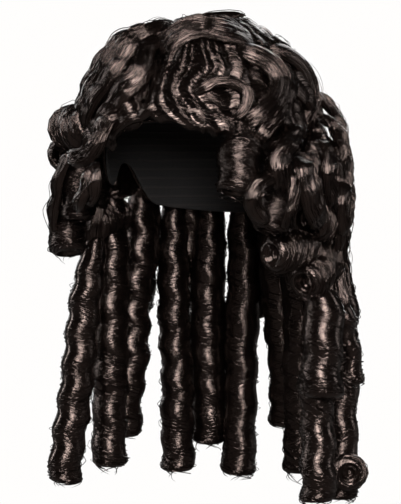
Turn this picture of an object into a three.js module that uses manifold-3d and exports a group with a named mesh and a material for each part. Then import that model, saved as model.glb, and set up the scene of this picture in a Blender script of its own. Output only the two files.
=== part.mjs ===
// A long curled wig for a man's head: a fitted cap, combed under-hair, waved locks over the
// front, crown and back, rolled curls at the sides, and ringlets that hang to the chest.
// Millimetres, +Z up. The face looks along -Y, and the wearer's left is +X.
// The origin is the inside of the cap at its highest point, where it sits on the head.
import * as THREE from "three";
import { mergeVertices } from "three/addons/utils/BufferGeometryUtils.js";
import Module from "manifold-3d";

const wasm = await Module();
wasm.setup();

// The head that the cap is fitted to
const headHalfWidth = 76;
const headHalfDepth = 96;
const crownRise = 98; // from the head's widest level up to its top
const napeDrop = 135; // how fast the head narrows below its widest level
const headSegments = 16;
const headRows = 12;

// The cap and the hair combed over it
const capWall = 2.5;
const underHairDepth = 8;
const clearance = 0.3; // between pieces that lie on each other
const bedding = 0.35; // lifts a lock's flat underside clear of the curve that it lies on

// The waved locks
const waveDepth = 14; // from the combed hair up to a lock's back
const wavePitch = 28; // along a lock, from one ridge to the next
const waveSwing = 2.6; // how far a lock's back rises and falls over its waves
const lockPoint = 2; // how far a lock's pointed ends reach past its last sections
const stepsPerWave = 3;
const fallHalfWidth = 12;
const fallHalfDepth = 7;
const fallSides = 6;

// The rolled curls and ringlets
const wigLength = 388; // from the inside of the cap's top to the lowest ringlet's end
const curlRadius = 17;
const curlPitch = 31; // along a curl, from one turn to the next
const curlLean = 3; // how far the rolled strand's middle lies off the curl's own axis
const curlHollow = 7; // depth of the dimple in a curl's open end
const curlSides = 6;
const ringsPerTurn = 3.5;

const underHairLift = capWall + clearance;
const hairLift = underHairLift + underHairDepth + clearance;
const lockLift = hairLift + bedding;

// The cap's edge seen from the side. Shares of the head's half depth, front to back, and of
// its crown rise, up from the widest level: hairline, temple, ear tab, ear, behind the ear, nape
const capEdge = [
  { back: -1.2, up: 0.335 },
  { back: -0.97, up: 0.29 },
  { back: -0.8, up: 0.2 },
  { back: -0.5, up: 0.06 },
  { back: -0.37, up: -0.2 },
  { back: -0.16, up: -0.26 },
  { back: 0, up: -0.04 },
  { back: 0.22, up: -0.06 },
  { back: 0.45, up: -0.42 },
  { back: 1.3, up: -0.56 },
];

// The edges between the waved locks that sweep from the part to each side, lowest first:
// degrees up from the head's widest level, at the part and a quarter turn away from it
const leftEdges = [
  { atPart: 17, atSide: -3 },
  { atPart: 28, atSide: 5 },
  { atPart: 39.5, atSide: 19 },
  { atPart: 51, atSide: 33 },
  { atPart: 62.5, atSide: 48 },
  { atPart: 74, atSide: 66 },
];
const rightEdges = [
  { atPart: 16, atSide: -12 },
  { atPart: 27.5, atSide: 4 },
  { atPart: 39, atSide: 19 },
  { atPart: 50.5, atSide: 34 },
  { atPart: 62.5, atSide: 49 },
  { atPart: 74, atSide: 66 },
];

// The locks between those edges, lowest first. az runs round the head in degrees from the face
// towards the wearer's left, from the lock's root to its tip, and rise is how much deeper the
// lock gets towards its tip, as a share of waveDepth.
const leftWaves = [
  { az: [-3, 70], rise: 0.3 },
  { az: [-1, 84], rise: 0.7 },
  { az: [0, 97], rise: 0.9 },
  { az: [-1, 100], rise: 0.9 },
  { az: [-4, 99], rise: 0.5 },
];
const rightWaves = [
  { az: [-8, -56], rise: 0.1 },
  { az: [-9, -74], rise: 0.1 },
  { az: [-10, -88], rise: 0.1 },
  { az: [-11, -92], rise: 0.1 },
  { az: [-13, -91], rise: 0.1 },
];

// The locks coiled round the crown, and the broad ones that run from it down the back
const crownWaves = [
  { az: [92, -84], lat: [75, 85], rise: -0.3 },
  { az: [110, 257], lat: [71, 85], rise: -0.3 },
];
const backWaveCount = 9;
const backWaveAz = [104, 265];
const backWaveLat = [69, -14];
const backWaveRise = 0.35;

// Waved locks that fall free at the sides. down is a share of crownRise below the origin, out
// a share of curlRadius beyond the combed hair, and wide a share of fallHalfWidth.
const falls = [
  { name: "fall_left_1", az: [112, 111], down: [0.37, 2], out: [1.5, 1.8], wide: 0.9 },
  { name: "fall_left_2", az: [96, 103], down: [0.62, 1.6], out: [1.5, 2.1], wide: 1 },
  { name: "fall_left_3", az: [74, 80], down: [0.93, 1.62], out: [0.9, 1.5], wide: 1.2 },
];

// Rolled curls at the temples and sides, each from its root to its open end. size is a share
// of curlRadius.
const rolls = [
  { name: "temple_curl_left", az: [44, 39], down: [0.83, 1.28], out: [0.7, 1.15], size: 1.15 },
  { name: "side_curl_left_1", az: [66, 56], down: [0.99, 1.6], out: [0.65, 0.9], size: 1 },
  { name: "side_curl_left_2", az: [86, 58], down: [1.72, 1.8], out: [0.6, 0.8], size: 1 },
  { name: "side_curl_left_3", az: [108, 77], down: [1.46, 1.54], out: [1.3, 1.1], size: 1.2 },
  { name: "side_curl_left_4", az: [102, 74], down: [1.82, 2.05], out: [1, 1.25], size: 1.05 },
  { name: "side_curl_left_5", az: [97, 90], down: [0.86, 1.36], out: [0.75, 1], size: 1.1 },
  { name: "side_curl_right_1", az: [-46, -70], down: [0.76, 0.74], out: [0.5, 1.5], size: 1.15 },
  { name: "side_curl_right_2", az: [-100, -78], down: [0.91, 0.98], out: [1.5, 2.1], size: 0.9 },
  { name: "side_curl_right_3", az: [-60, -62], down: [1, 1.52], out: [0.75, 0.8], size: 1 },
  { name: "side_curl_right_4", az: [-77, -69], down: [1.28, 1.82], out: [1.75, 1.4], size: 1 },
  { name: "side_curl_right_5", az: [-114, -88], down: [1.5, 1.6], out: [1, 0.9], size: 1.05 },
  { name: "side_curl_right_6", az: [-90, -86], down: [0.5, 0.9], out: [0.9, 1.1], size: 1 },
  { name: "side_curl_right_7", az: [-90, -84], down: [1.05, 1.42], out: [0.7, 0.9], size: 1.1 },
];

// Ringlets that hang at the sides: from is a share of crownRise below the origin, and to a
// share of wigLength
const sideRinglets = [
  { name: "ringlet_left_1", az: [84, 80], from: 2.1, to: 0.76, out: [1.5, 1.75], size: 1.1 },
  { name: "ringlet_left_2", az: [88, 84], from: 2.6, to: 0.985, out: [0.9, 1.25], size: 0.95 },
  { name: "ringlet_left_3", az: [111, 106], from: 1.96, to: 1, out: [1.6, 1.85], size: 0.95 },
  { name: "ringlet_left_4", az: [95, 103], from: 2.25, to: 0.74, out: [2, 2.25], size: 0.7 },
  { name: "ringlet_right_1", az: [-89, -84], from: 1.7, to: 0.98, out: [0.75, 2.3], size: 0.95 },
];

// The ringlets round the back, one from each of the broad back locks but the first, which
// ends behind the side curls. sway is how many degrees round the head a ringlet's end hangs
// from its root.
const backRinglets = [
  { sway: -3, to: 0.91, out: [0.75, 1.7], size: 1.06 },
  { sway: 2, to: 0.98, out: [0.75, 1], size: 1 },
  { sway: -2, to: 0.88, out: [0.75, 1.75], size: 1.12 },
  { sway: 3, to: 1, out: [0.75, 1.1], size: 1.02 },
  { sway: 1, to: 0.93, out: [0.75, 1.6], size: 1.08 },
  { sway: -2, to: 0.99, out: [0.75, 1], size: 0.98 },
  { sway: 3, to: 0.9, out: [0.75, 1.8], size: 1.1 },
  { sway: -1, to: 0.96, out: [0.75, 1.2], size: 1.03 },
];
const ringletTuck = 5; // how far a back ringlet's root reaches up behind the lock above it

// Short ringlets that come out of the broad back locks and lie over the long ones. across is a
// share of the way over the back.
const upperRinglets = [
  { across: 0.2, sway: -2, from: 1.14, to: 0.6, out: [0.5, 2.2], size: 0.92 },
  { across: 0.36, sway: 2, from: 1.1, to: 0.53, out: [0.5, 2.1], size: 0.98 },
  { across: 0.5, sway: -2, from: 1.15, to: 0.63, out: [0.5, 2.25], size: 0.9 },
  { across: 0.66, sway: 2, from: 1.09, to: 0.55, out: [0.5, 2.1], size: 1 },
  { across: 0.81, sway: -1, from: 1.13, to: 0.61, out: [0.5, 2.2], size: 0.94 },
];

const wigGroup = new THREE.Group();
const hairMaterial = new THREE.MeshStandardMaterial({ color: 0x1d1512, roughness: 0.38 });
const netMaterial = new THREE.MeshStandardMaterial({ color: 0x161210, roughness: 0.85 });

const mix = (pair, t) => pair[0] + (pair[1] - pair[0]) * t;

// A point over the head at an angle round it, an angle up, and a height above its surface
function onHead(az, lat, lift) {
  const round = THREE.MathUtils.degToRad(az);
  const up = THREE.MathUtils.degToRad(lat);
  const halfHeight = up > 0 ? crownRise : napeDrop;
  return new THREE.Vector3(
    (headHalfWidth + lift) * Math.cos(up) * Math.sin(round),
    -(headHalfDepth + lift) * Math.cos(up) * Math.cos(round),
    (halfHeight + lift) * Math.sin(up) - crownRise,
  );
}

// A point beside the head at an angle round it, a height below the origin, and a share of a
// curl's radius out from the combed hair. Below the head's widest level the hair hangs plumb.
function besideHead(az, down, out) {
  const round = THREE.MathUtils.degToRad(az);
  const rise = Math.max(0, (crownRise - down) / (crownRise + hairLift));
  const girth = Math.sqrt(Math.max(0, 1 - rise * rise));
  return new THREE.Vector3(
    ((headHalfWidth + hairLift) * girth + out * curlRadius) * Math.sin(round),
    -((headHalfDepth + hairLift) * girth + out * curlRadius) * Math.cos(round),
    -down,
  );
}

// The closed surface at a height above the head
function headSurface(lift) {
  const surface = new THREE.SphereGeometry(1, headSegments, headRows).rotateX(Math.PI / 2);
  const at = surface.getAttribute("position");
  for (let i = 0; i < at.count; i++) {
    const halfHeight = at.getZ(i) > 0 ? crownRise : napeDrop;
    at.setXYZ(
      i,
      at.getX(i) * (headHalfWidth + lift),
      at.getY(i) * (headHalfDepth + lift),
      at.getZ(i) * (halfHeight + lift) - crownRise,
    );
  }
  return surface;
}

// A closed skin over a row of sections with the same number of points, ending in two tips
function skinOver(sections, firstTip, lastTip) {
  const points = [firstTip, ...sections.flat(), lastTip];
  const sides = sections[0].length;
  const faces = [];
  for (let side = 0; side < sides; side++) {
    const next = (side + 1) % sides;
    faces.push([0, 1 + next, 1 + side]);
    for (let i = 0; i + 1 < sections.length; i++) {
      const here = 1 + i * sides;
      const there = here + sides;
      faces.push([here + side, here + next, there + next], [here + side, there + next, there + side]);
    }
    const end = 1 + (sections.length - 1) * sides;
    faces.push([end + side, end + next, points.length - 1]);
  }
  const volume = faces.reduce((sum, [a, b, c]) => sum + points[a].dot(points[b].clone().cross(points[c])), 0);
  if (volume < 0) faces.forEach((face) => face.reverse());
  return new THREE.BufferGeometry().setFromPoints(points).setIndex(faces.flat());
}

// How full a lock is along its length: thinner at the root and at the tip
function fullness(t, root, tip) {
  const ends = 0.2; // the share of the lock over which it fills out or thins
  const atRoot = root + (1 - root) * Math.sqrt(Math.min(1, t / ends));
  const atTip = tip + (1 - tip) * Math.sqrt(Math.min(1, (1 - t) / ends));
  return Math.min(atRoot, atTip);
}

function lengthOf(route) {
  const points = Array.from({ length: 17 }, (_, i) => route(i / 16));
  return points.slice(1).reduce((sum, point, i) => sum + point.distanceTo(points[i]), 0);
}

// The section of a lock that lies on the head: shares of its half width and of its depth
const lyingSection = [
  { across: -1, height: 0 },
  { across: 0, height: 0 },
  { across: 1, height: 0 },
  { across: 1, height: 0.55 },
  { across: 0, height: 1 },
  { across: -1, height: 0.55 },
];

// A waved lock on the combed hair. place gives the point at a share along the lock, a share
// across it from -1 to 1, and a height above the combed hair.
function lyingLock(place, rise, grow) {
  const length = lengthOf((t) => place(t, 0, 0));
  const steps = Math.max(7, Math.round((length / wavePitch) * stepsPerWave));
  const sections = Array.from({ length: steps + 1 }, (_, i) => {
    const t = i / steps;
    const width = place(t, -1, 0).distanceTo(place(t, 1, 0));
    const spread = fullness(t, 0.8, 0.6) * (1 - clearance / width) + (2 * grow) / width;
    const swing = waveSwing * Math.sin((2 * Math.PI * length * t) / wavePitch);
    const top = (waveDepth * (1 + rise * t) + swing) * fullness(t, 0.7, 0.6) + grow;
    return lyingSection.map(({ across, height }) =>
      place(t, across * spread, height > 0 ? height * top : -grow),
    );
  });
  const start = place(-(lockPoint + grow) / length, 0, waveDepth / 3);
  const end = place(1 + (lockPoint + grow) / length, 0, waveDepth / 3);
  return skinOver(sections, start, end);
}

// A lock that sweeps from the part to one side, between two edges
function sweptLock({ az, rise }, low, high, grow) {
  const latOf = (edge, angle) => mix([edge.atPart, edge.atSide], Math.abs(angle) / 90);
  const place = (t, across, height) => {
    const angle = mix(az, t);
    const lat = mix([latOf(low, angle), latOf(high, angle)], (across + 1) / 2);
    return onHead(angle, lat, lockLift + height);
  };
  return lyingLock(place, rise, grow);
}

// A lock coiled round the crown
function coiledLock({ az, lat, rise }, grow) {
  const place = (t, across, height) => onHead(mix(az, t), mix(lat, (across + 1) / 2), lockLift + height);
  return lyingLock(place, rise, grow);
}

// A lock that runs from the crown down the back, between two angles round the head
function backLock(az, grow) {
  const place = (t, across, height) =>
    onHead(mix(az, (across + 1) / 2), mix(backWaveLat, t), lockLift + height);
  return lyingLock(place, backWaveRise, grow);
}

// The way along a route and the two directions across it, the first along the head
function frameAt(route, t) {
  const step = 0.01;
  const along = route(Math.min(1, t + step)).sub(route(Math.max(0, t - step))).normalize();
  const hanging = Math.abs(along.z) > 0.7;
  const reference = hanging ? route(t).setZ(0) : new THREE.Vector3(0, 0, 1);
  const side = reference.cross(along).normalize();
  return { along, side, across: new THREE.Vector3().crossVectors(along, side) };
}

// A ring of points round a centre, at half widths along the frame's two cross directions
function ring(centre, { side, across }, halfSide, halfAcross, count) {
  return Array.from({ length: count }, (_, i) => {
    const angle = (2 * Math.PI * i) / count;
    return centre
      .clone()
      .addScaledVector(side, halfSide * Math.cos(angle))
      .addScaledVector(across, halfAcross * Math.sin(angle));
  });
}

// A flat waved lock that falls free beside the head
function fallenLock({ az, down, out, wide }, grow) {
  const route = (t) => besideHead(mix(az, t), mix(down, t) * crownRise, mix(out, Math.sqrt(t)));
  const length = lengthOf(route);
  const steps = Math.round((length / wavePitch) * stepsPerWave);
  const sections = Array.from({ length: steps + 1 }, (_, i) => {
    const t = i / steps;
    const frame = frameAt(route, t);
    const swing = waveSwing * Math.sin((2 * Math.PI * length * t) / wavePitch);
    const full = fullness(t, 0.6, 0.5);
    const centre = route(t).addScaledVector(frame.across, swing);
    return ring(centre, frame, fallHalfWidth * wide * full + grow, fallHalfDepth * full + grow, fallSides);
  });
  const start = route(0).addScaledVector(frameAt(route, 0).along, -lockPoint - grow);
  const end = route(1).addScaledVector(frameAt(route, 1).along, lockPoint + grow);
  return skinOver(sections, start, end);
}

// A lock rolled round its own axis: a round strand whose middle runs in a helix, with a
// dimple in its open end
function rolledLock({ az, down, out, size }, grow) {
  const route = (t) => besideHead(mix(az, t), mix(down, t), mix(out, t));
  const length = lengthOf(route);
  const rings = Math.max(5, Math.round((length / curlPitch) * ringsPerTurn));
  const hand = az[0] > 0 ? 1 : -1;
  const strand = size * (curlRadius - curlLean);
  const lean = size * curlLean;
  const sectionAt = (t, share) => {
    const frame = frameAt(route, t);
    const turn = (hand * 2 * Math.PI * length * t) / curlPitch;
    const centre = route(t)
      .addScaledVector(frame.side, lean * Math.cos(turn))
      .addScaledVector(frame.across, lean * Math.sin(turn));
    const radius = strand * share * fullness(t, 0.45, 0.9) + grow;
    return ring(centre, frame, radius, radius, curlSides);
  };
  const sections = Array.from({ length: rings + 1 }, (_, i) => sectionAt(i / rings, 1));
  const rimShare = 0.6;
  sections.push(sectionAt(1, rimShare));
  const start = route(0).addScaledVector(frameAt(route, 0).along, -lockPoint - grow);
  const end = route(1).addScaledVector(frameAt(route, 1).along, grow > 0 ? grow : -curlHollow);
  return skinOver(sections, start, end);
}

// A three.js geometry as a manifold-3d solid
function solid(geometry) {
  const bare = geometry.clone();
  bare.deleteAttribute("normal");
  bare.deleteAttribute("uv");
  const merged = mergeVertices(bare, 1e-3);
  return new wasm.Manifold(
    new wasm.Mesh({
      numProp: 3,
      vertProperties: merged.getAttribute("position").array,
      triVerts: new Uint32Array(merged.index.array),
    }),
  );
}

function addPiece(name, body, material) {
  const { vertProperties, triVerts } = body.getMesh();
  const geometry = new THREE.BufferGeometry()
    .setAttribute("position", new THREE.BufferAttribute(vertProperties, 3))
    .setIndex(new THREE.BufferAttribute(triVerts, 1));
  const mesh = new THREE.Mesh(geometry, material);
  mesh.name = name;
  wigGroup.add(mesh);
}

// Everything below the cap's edge, as wide as the wig, to trim the shells with
function belowCapEdge(lower) {
  const outline = new THREE.Shape(
    capEdge.map(({ back, up }) => new THREE.Vector2(back * headHalfDepth, (up - 1) * crownRise - lower)),
  );
  const floor = -2 * (crownRise + napeDrop);
  outline.lineTo(capEdge.at(-1).back * headHalfDepth, floor);
  outline.lineTo(capEdge[0].back * headHalfDepth, floor);
  const halfSpan = headHalfWidth + hairLift + curlRadius;
  return new THREE.ExtrudeGeometry(outline, { depth: 2 * halfSpan, bevelEnabled: false })
    .translate(0, 0, -halfSpan)
    .applyMatrix4(new THREE.Matrix4().set(0, 0, 1, 0, 1, 0, 0, 0, 0, 1, 0, 0, 0, 0, 0, 1));
}

// The wall between two heights above the head, trimmed to the cap's edge or a little above it
function shell(inner, outer, above) {
  return solid(headSurface(outer)).subtract(solid(headSurface(inner))).subtract(solid(belowCapEdge(-above)));
}

addPiece("cap", shell(0, capWall, 0), netMaterial);
addPiece("under_hair", shell(underHairLift, underHairLift + underHairDepth, clearance), hairMaterial);

// The locks that lie on the head side by side
const backWaveWidth = (backWaveAz[1] - backWaveAz[0]) / backWaveCount;
const backAzes = Array.from({ length: backWaveCount }, (_, i) => backWaveAz[0] + i * backWaveWidth);
const lyingLocks = [
  ...leftWaves.map((row, i) => ({
    name: `front_wave_left_${i + 1}`,
    make: (grow) => sweptLock(row, leftEdges[i], leftEdges[i + 1], grow),
  })),
  ...rightWaves.map((row, i) => ({
    name: `front_wave_right_${i + 1}`,
    make: (grow) => sweptLock(row, rightEdges[i], rightEdges[i + 1], grow),
  })),
  ...crownWaves.map((row, i) => ({ name: `crown_wave_${i + 1}`, make: (grow) => coiledLock(row, grow) })),
  ...backAzes.map((az, i) => ({
    name: `back_wave_${i + 1}`,
    make: (grow) => backLock([az, az + backWaveWidth], grow),
  })),
];

// The locks that are laid over them in turn
const backRingletTop = -onHead(0, backWaveLat[1], lockLift).z - ringletTuck;
const swayed = (az, sway) => [az, az + sway];
const ringlets = [
  ...sideRinglets.map((row) => ({ ...row, down: [row.from * crownRise, row.to * wigLength] })),
  ...backRinglets.map((row, i) => ({
    ...row,
    name: `ringlet_back_${i + 1}`,
    az: swayed(backAzes[i + 1] + backWaveWidth / 2, row.sway),
    down: [backRingletTop, row.to * wigLength],
  })),
  ...upperRinglets.map((row, i) => ({
    ...row,
    name: `ringlet_upper_${i + 1}`,
    az: swayed(mix(backWaveAz, row.across), row.sway),
    down: [row.from * crownRise, row.to * wigLength],
  })),
];
const sideRolls = rolls.map((row) => ({ ...row, down: row.down.map((share) => share * crownRise) }));
const looseLocks = [
  ...sideRolls.map((row) => ({ name: row.name, make: (grow) => rolledLock(row, grow) })),
  ...falls.map((row) => ({ name: row.name, make: (grow) => fallenLock(row, grow) })),
  ...ringlets.map((row) => ({ name: row.name, make: (grow) => rolledLock(row, grow) })),
];

for (const { name, make } of lyingLocks) addPiece(name, solid(make(0)), hairMaterial);

// Each loose lock is cut to lie on the combed hair and beside the locks laid before it
const laid = [solid(headSurface(hairLift)), ...lyingLocks.map(({ make }) => solid(make(clearance)))];
for (const { name, make } of looseLocks) {
  const cut = laid.reduce((body, earlier) => body.subtract(earlier), solid(make(0)));
  const [largest] = cut.decompose().sort((a, b) => b.volume() - a.volume());
  addPiece(name, largest, hairMaterial);
  laid.push(solid(make(clearance)));
}

export default wigGroup;
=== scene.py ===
import math
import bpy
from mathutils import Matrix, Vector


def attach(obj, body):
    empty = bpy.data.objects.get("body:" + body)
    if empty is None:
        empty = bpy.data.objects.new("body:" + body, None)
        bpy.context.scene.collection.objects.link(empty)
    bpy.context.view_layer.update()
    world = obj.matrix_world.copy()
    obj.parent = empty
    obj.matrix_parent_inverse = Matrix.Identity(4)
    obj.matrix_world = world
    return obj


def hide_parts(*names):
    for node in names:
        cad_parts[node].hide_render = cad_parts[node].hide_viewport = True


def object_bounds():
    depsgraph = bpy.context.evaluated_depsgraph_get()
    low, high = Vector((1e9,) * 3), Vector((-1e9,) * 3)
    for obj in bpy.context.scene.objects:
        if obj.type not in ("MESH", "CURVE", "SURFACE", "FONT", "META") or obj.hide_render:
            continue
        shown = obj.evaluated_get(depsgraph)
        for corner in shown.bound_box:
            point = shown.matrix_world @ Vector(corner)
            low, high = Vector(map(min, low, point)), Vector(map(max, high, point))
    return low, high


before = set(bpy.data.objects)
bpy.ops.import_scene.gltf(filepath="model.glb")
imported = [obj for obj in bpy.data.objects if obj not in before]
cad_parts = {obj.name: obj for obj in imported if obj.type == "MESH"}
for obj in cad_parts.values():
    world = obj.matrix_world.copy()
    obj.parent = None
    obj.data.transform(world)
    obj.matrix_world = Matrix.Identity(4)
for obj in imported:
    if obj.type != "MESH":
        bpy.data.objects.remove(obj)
import zlib
import bpy
import numpy as np
from mathutils import Vector

# A long, dark, curled full-bottomed wig: the looks. Metres, +Z up, the face looks along -Y and
# the wearer's left is +X. The origin is the inside of the cap at its highest point.
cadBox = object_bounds()
bodyName = "root"

# The head under the wig and the layers on it, as the CAD part has them
head = {"halfWidth": 0.076, "halfDepth": 0.096, "crownRise": 0.098, "napeDrop": 0.135}
layers = {"cap": 0.0025, "gap": 0.0003, "combed": 0.008, "bedding": 0.00035}
combedLift = layers["cap"] + layers["gap"]
hairLift = combedLift + layers["combed"] + layers["gap"]
lockLift = hairLift + layers["bedding"]
wigLength = 0.388
curlRadius = 0.017


# Node sockets in arithmetic: each operator adds its Math node
class Wire:
    def __init__(self, maker, socket):
        self.maker = maker
        self.socket = socket

    def __add__(self, other):
        return self.maker.math("ADD", self, other)

    def __sub__(self, other):
        return self.maker.math("SUBTRACT", self, other)

    def __rsub__(self, other):
        return self.maker.math("SUBTRACT", other, self)

    def __mul__(self, other):
        return self.maker.math("MULTIPLY", self, other)

    def __truediv__(self, other):
        return self.maker.math("DIVIDE", self, other)

    def __pow__(self, other):
        return self.maker.math("POWER", self, other)

    __radd__ = __add__
    __rmul__ = __mul__


# Makes the nodes of one tree. Settings are set first, then values or links by socket.
class Maker:
    def __init__(self, tree):
        self.tree = tree

    def node(self, kind, settings=None, links=None, out=0):
        made = self.tree.nodes.new(kind)
        for name, value in (settings or {}).items():
            setattr(made, name, value)
        for key, value in (links or {}).items():
            if isinstance(value, Wire):
                self.tree.links.new(value.socket, made.inputs[key])
            else:
                made.inputs[key].default_value = value
        return Wire(self, made.outputs[out]) if made.outputs else None

    def math(self, operation, *values):
        return self.node("ShaderNodeMath", {"operation": operation}, dict(enumerate(values)))

    def vector(self, operation, *values):
        return self.node("ShaderNodeVectorMath", {"operation": operation}, dict(enumerate(values)))

    def scaled(self, vector, amount):
        return self.node("ShaderNodeVectorMath", {"operation": "SCALE"}, {0: vector, "Scale": amount})

    def combine(self, x, y, z):
        return self.node("ShaderNodeCombineXYZ", None, {0: x, 1: y, 2: z})

    def noise(self, vector, detail, out=0):
        links = {"Vector": vector, "Scale": 1.0, "Detail": detail}
        return self.node("ShaderNodeTexNoise", None, links, out)

    def mixed(self, factor, first, second):
        settings = {"data_type": "RGBA", "clamp_factor": True}
        return self.node("ShaderNodeMix", settings, {"Factor": factor, 6: first, 7: second}, 2)

    def bump(self, height, distance, under=None):
        links = {"Strength": 1.0, "Distance": distance, "Height": height}
        if under:
            links["Normal"] = under
        return self.node("ShaderNodeBump", None, links)

    def attribute(self, title, out):
        return self.node("ShaderNodeAttribute", {"attribute_name": title}, None, out)

    def read(self, title, kind="FLOAT"):
        return self.node("GeometryNodeInputNamedAttribute", {"data_type": kind}, {"Name": title})

    def store(self, geometry, title, value, kind="FLOAT"):
        settings = {"data_type": kind, "domain": "POINT"}
        links = {"Geometry": geometry, "Name": title, "Value": value}
        return self.node("GeometryNodeStoreNamedAttribute", settings, links)


# Strand coordinates counted in cells. The coordinates are two across the strands and one along.
def cellsOf(maker, strand, width, length):
    return maker.vector("MULTIPLY", strand, (1 / width, 1 / width, 1 / length))


# Rounded bundles of strands with a crease between them, from 0 in a crease to about 1 on a back
def bundleHeight(maker, strand, width, length):
    links = {"Vector": cellsOf(maker, strand, width, length), "Scale": 1.0, "Randomness": 0.85}
    distance = maker.node("ShaderNodeTexVoronoi", {"voronoi_dimensions": "3D"}, links, "Distance")
    return 1 - distance * distance


# How far the bundles and tresses of combed hair lie below a surface, from 0 on their backs
def combedDip(maker, strand, depth, look):
    bundles = bundleHeight(maker, strand, look["bundleWidth"], look["bundleLength"])
    tresses = bundleHeight(maker, strand, look["tressWidth"], look["tressLength"])
    return (bundles - 1) * depth + (tresses - 1) * look["tressDepth"]


# Materials
def emptyMaterial(name):
    material = bpy.data.materials.new(name)
    material.use_nodes = True
    material.node_tree.nodes.clear()
    return material, Maker(material.node_tree)


def endMaterial(maker, finish):
    shader = maker.node("ShaderNodeBsdfPrincipled", None, finish)
    maker.node("ShaderNodeOutputMaterial", None, {"Surface": shader})


hairLook = {
    "dark": (0.0004, 0.0003, 0.00025, 1),
    "warm": (0.0026, 0.0016, 0.0013, 1),
    "toneStart": 0.32,
    "toneContrast": 2.6,
    "toneWidth": 0.004,
    "toneLength": 0.05,
    "streakWidth": 0.0009,
    "streakLength": 0.030,
    "streakRelief": 0.00054,
    "fineWidth": 0.00032,
    "fineLength": 0.022,
    "fineRelief": 0.00024,
    "calming": 0.45,  # how much of the relief the ringlets' tight winding takes away
    "roughness": (0.12, 0.19),
    "specularTint": (1.0, 0.75, 0.66, 1),
    "ior": 1.55,
}


# Glossy strands: each piece's "strand" attribute runs along its hair
def hairMaterial(name, look):
    material, maker = emptyMaterial(name)
    strand = maker.attribute("strand", "Vector")
    streaks = bundleHeight(maker, strand, look["streakWidth"], look["streakLength"])
    fine = maker.noise(cellsOf(maker, strand, look["fineWidth"], look["fineLength"]), 2.0)
    broad = maker.noise(cellsOf(maker, strand, look["toneWidth"], look["toneLength"]), 1.0)
    tone = (fine * 0.5 + broad * 0.5 - look["toneStart"]) * look["toneContrast"]
    low, high = look["roughness"]
    depth = 1 - maker.attribute("calm", "Fac") * look["calming"]
    streakBump = maker.bump(streaks * depth, look["streakRelief"])
    finish = {
        "Base Color": maker.mixed(tone, look["dark"], look["warm"]),
        "Roughness": low + (high - low) * fine,
        "IOR": look["ior"],
        "Specular Tint": look["specularTint"],
        "Normal": maker.bump(fine * depth, look["fineRelief"], streakBump),
    }
    endMaterial(maker, finish)
    return material


netLook = {
    "dark": (0.002, 0.0015, 0.0014, 1),
    "light": (0.012, 0.009, 0.008, 1),
    "weft": 0.0065,
    "mesh": 0.0016,
    "relief": 0.0008,
    "roughness": 0.82,
}


# A fine mesh crossed by sewn rows of wefts
def netMaterial(name, look):
    material, maker = emptyMaterial(name)
    strand = maker.attribute("strand", "Vector")
    across = maker.node("ShaderNodeSeparateXYZ", None, {0: strand}, "X")
    along = maker.node("ShaderNodeSeparateXYZ", None, {0: strand}, "Z")

    def waves(place, spacing):
        return maker.math("SINE", place * (2 * math.pi / spacing)) * 0.5 + 0.5

    mesh = maker.math("MAXIMUM", waves(across, look["mesh"]), waves(along, look["mesh"]))
    height = waves(along, look["weft"]) ** 6.0 * 0.8 + mesh * 0.35
    finish = {
        "Base Color": maker.mixed(height, look["dark"], look["light"]),
        "Roughness": look["roughness"],
        "Normal": maker.bump(height, look["relief"]),
    }
    endMaterial(maker, finish)
    return material


hair = hairMaterial("near-black brown hair", hairLook)
net = netMaterial("stretch net", netLook)


# Makes a Geometry Nodes tree's inputs and output. Returns the tree, its maker, the inputs as
# wires and their identifiers, by name.
def newTree(name, sockets):
    tree = bpy.data.node_groups.new(name, "GeometryNodeTree")
    tree.interface.new_socket("Geometry", in_out="INPUT", socket_type="NodeSocketGeometry")
    keys = {}
    for title, kind in sockets.items():
        keys[title] = tree.interface.new_socket(title, in_out="INPUT", socket_type=kind).identifier
    tree.interface.new_socket("Geometry", in_out="OUTPUT", socket_type="NodeSocketGeometry")
    maker = Maker(tree)
    entry = tree.nodes.new("NodeGroupInput")
    wires = {socket.name: Wire(maker, socket) for socket in entry.outputs if socket.name}
    return tree, maker, wires, keys


# Ends a tree with real geometry, smooth shading and its material
def endTree(maker, geometry, material):
    real = maker.node("GeometryNodeRealizeInstances", None, {0: geometry})
    smooth = maker.node("GeometryNodeSetShadeSmooth", None, {0: real})
    finished = maker.node("GeometryNodeSetMaterial", None, {"Geometry": smooth, "Material": material})
    maker.node("NodeGroupOutput", None, {0: finished})


def newObject(name, data):
    made = bpy.data.objects.new(name, data)
    bpy.context.scene.collection.objects.link(made)
    return made


# Runs a tree on an object and gives the result as a plain mesh object at the origin
def throughTree(source, tree, keys, values, name):
    modifier = source.modifiers.new("nodes", "NODES")
    modifier.node_group = tree
    for title, value in values.items():
        modifier[keys[title]] = value
    depsgraph = bpy.context.evaluated_depsgraph_get()
    mesh = bpy.data.meshes.new_from_object(source.evaluated_get(depsgraph))
    bpy.data.objects.remove(source)
    mesh.name = name
    return newObject(name, mesh)


def finishPiece(piece, slot, *nodes):
    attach(piece, bodyName)
    if nodes:
        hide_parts(*nodes)


def meshObject(name, points, faces, attributes, edges=()):
    mesh = bpy.data.meshes.new(name)
    mesh.from_pydata(points.tolist(), edges, faces)
    for title, values in attributes.items():
        kind = "FLOAT" if values.ndim == 1 else "FLOAT_VECTOR"
        attribute = mesh.attributes.new(title, kind, "POINT")
        field = "value" if values.ndim == 1 else "vector"
        attribute.data.foreach_set(field, values.astype(np.float32).ravel())
    return newObject(name, mesh)


def seededFor(name):
    return np.random.default_rng(zlib.crc32(name.encode()))


# A slow wander from -1 to 1 along a value that runs from 0 to 1
def wander(rng, t, waves=3):
    total = np.zeros_like(t)
    for wave in range(1, waves + 1):
        total = total + np.sin(2 * np.pi * (wave * t * rng.uniform(0.6, 1.3) + rng.uniform())) / wave
    return total / 1.8


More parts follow.
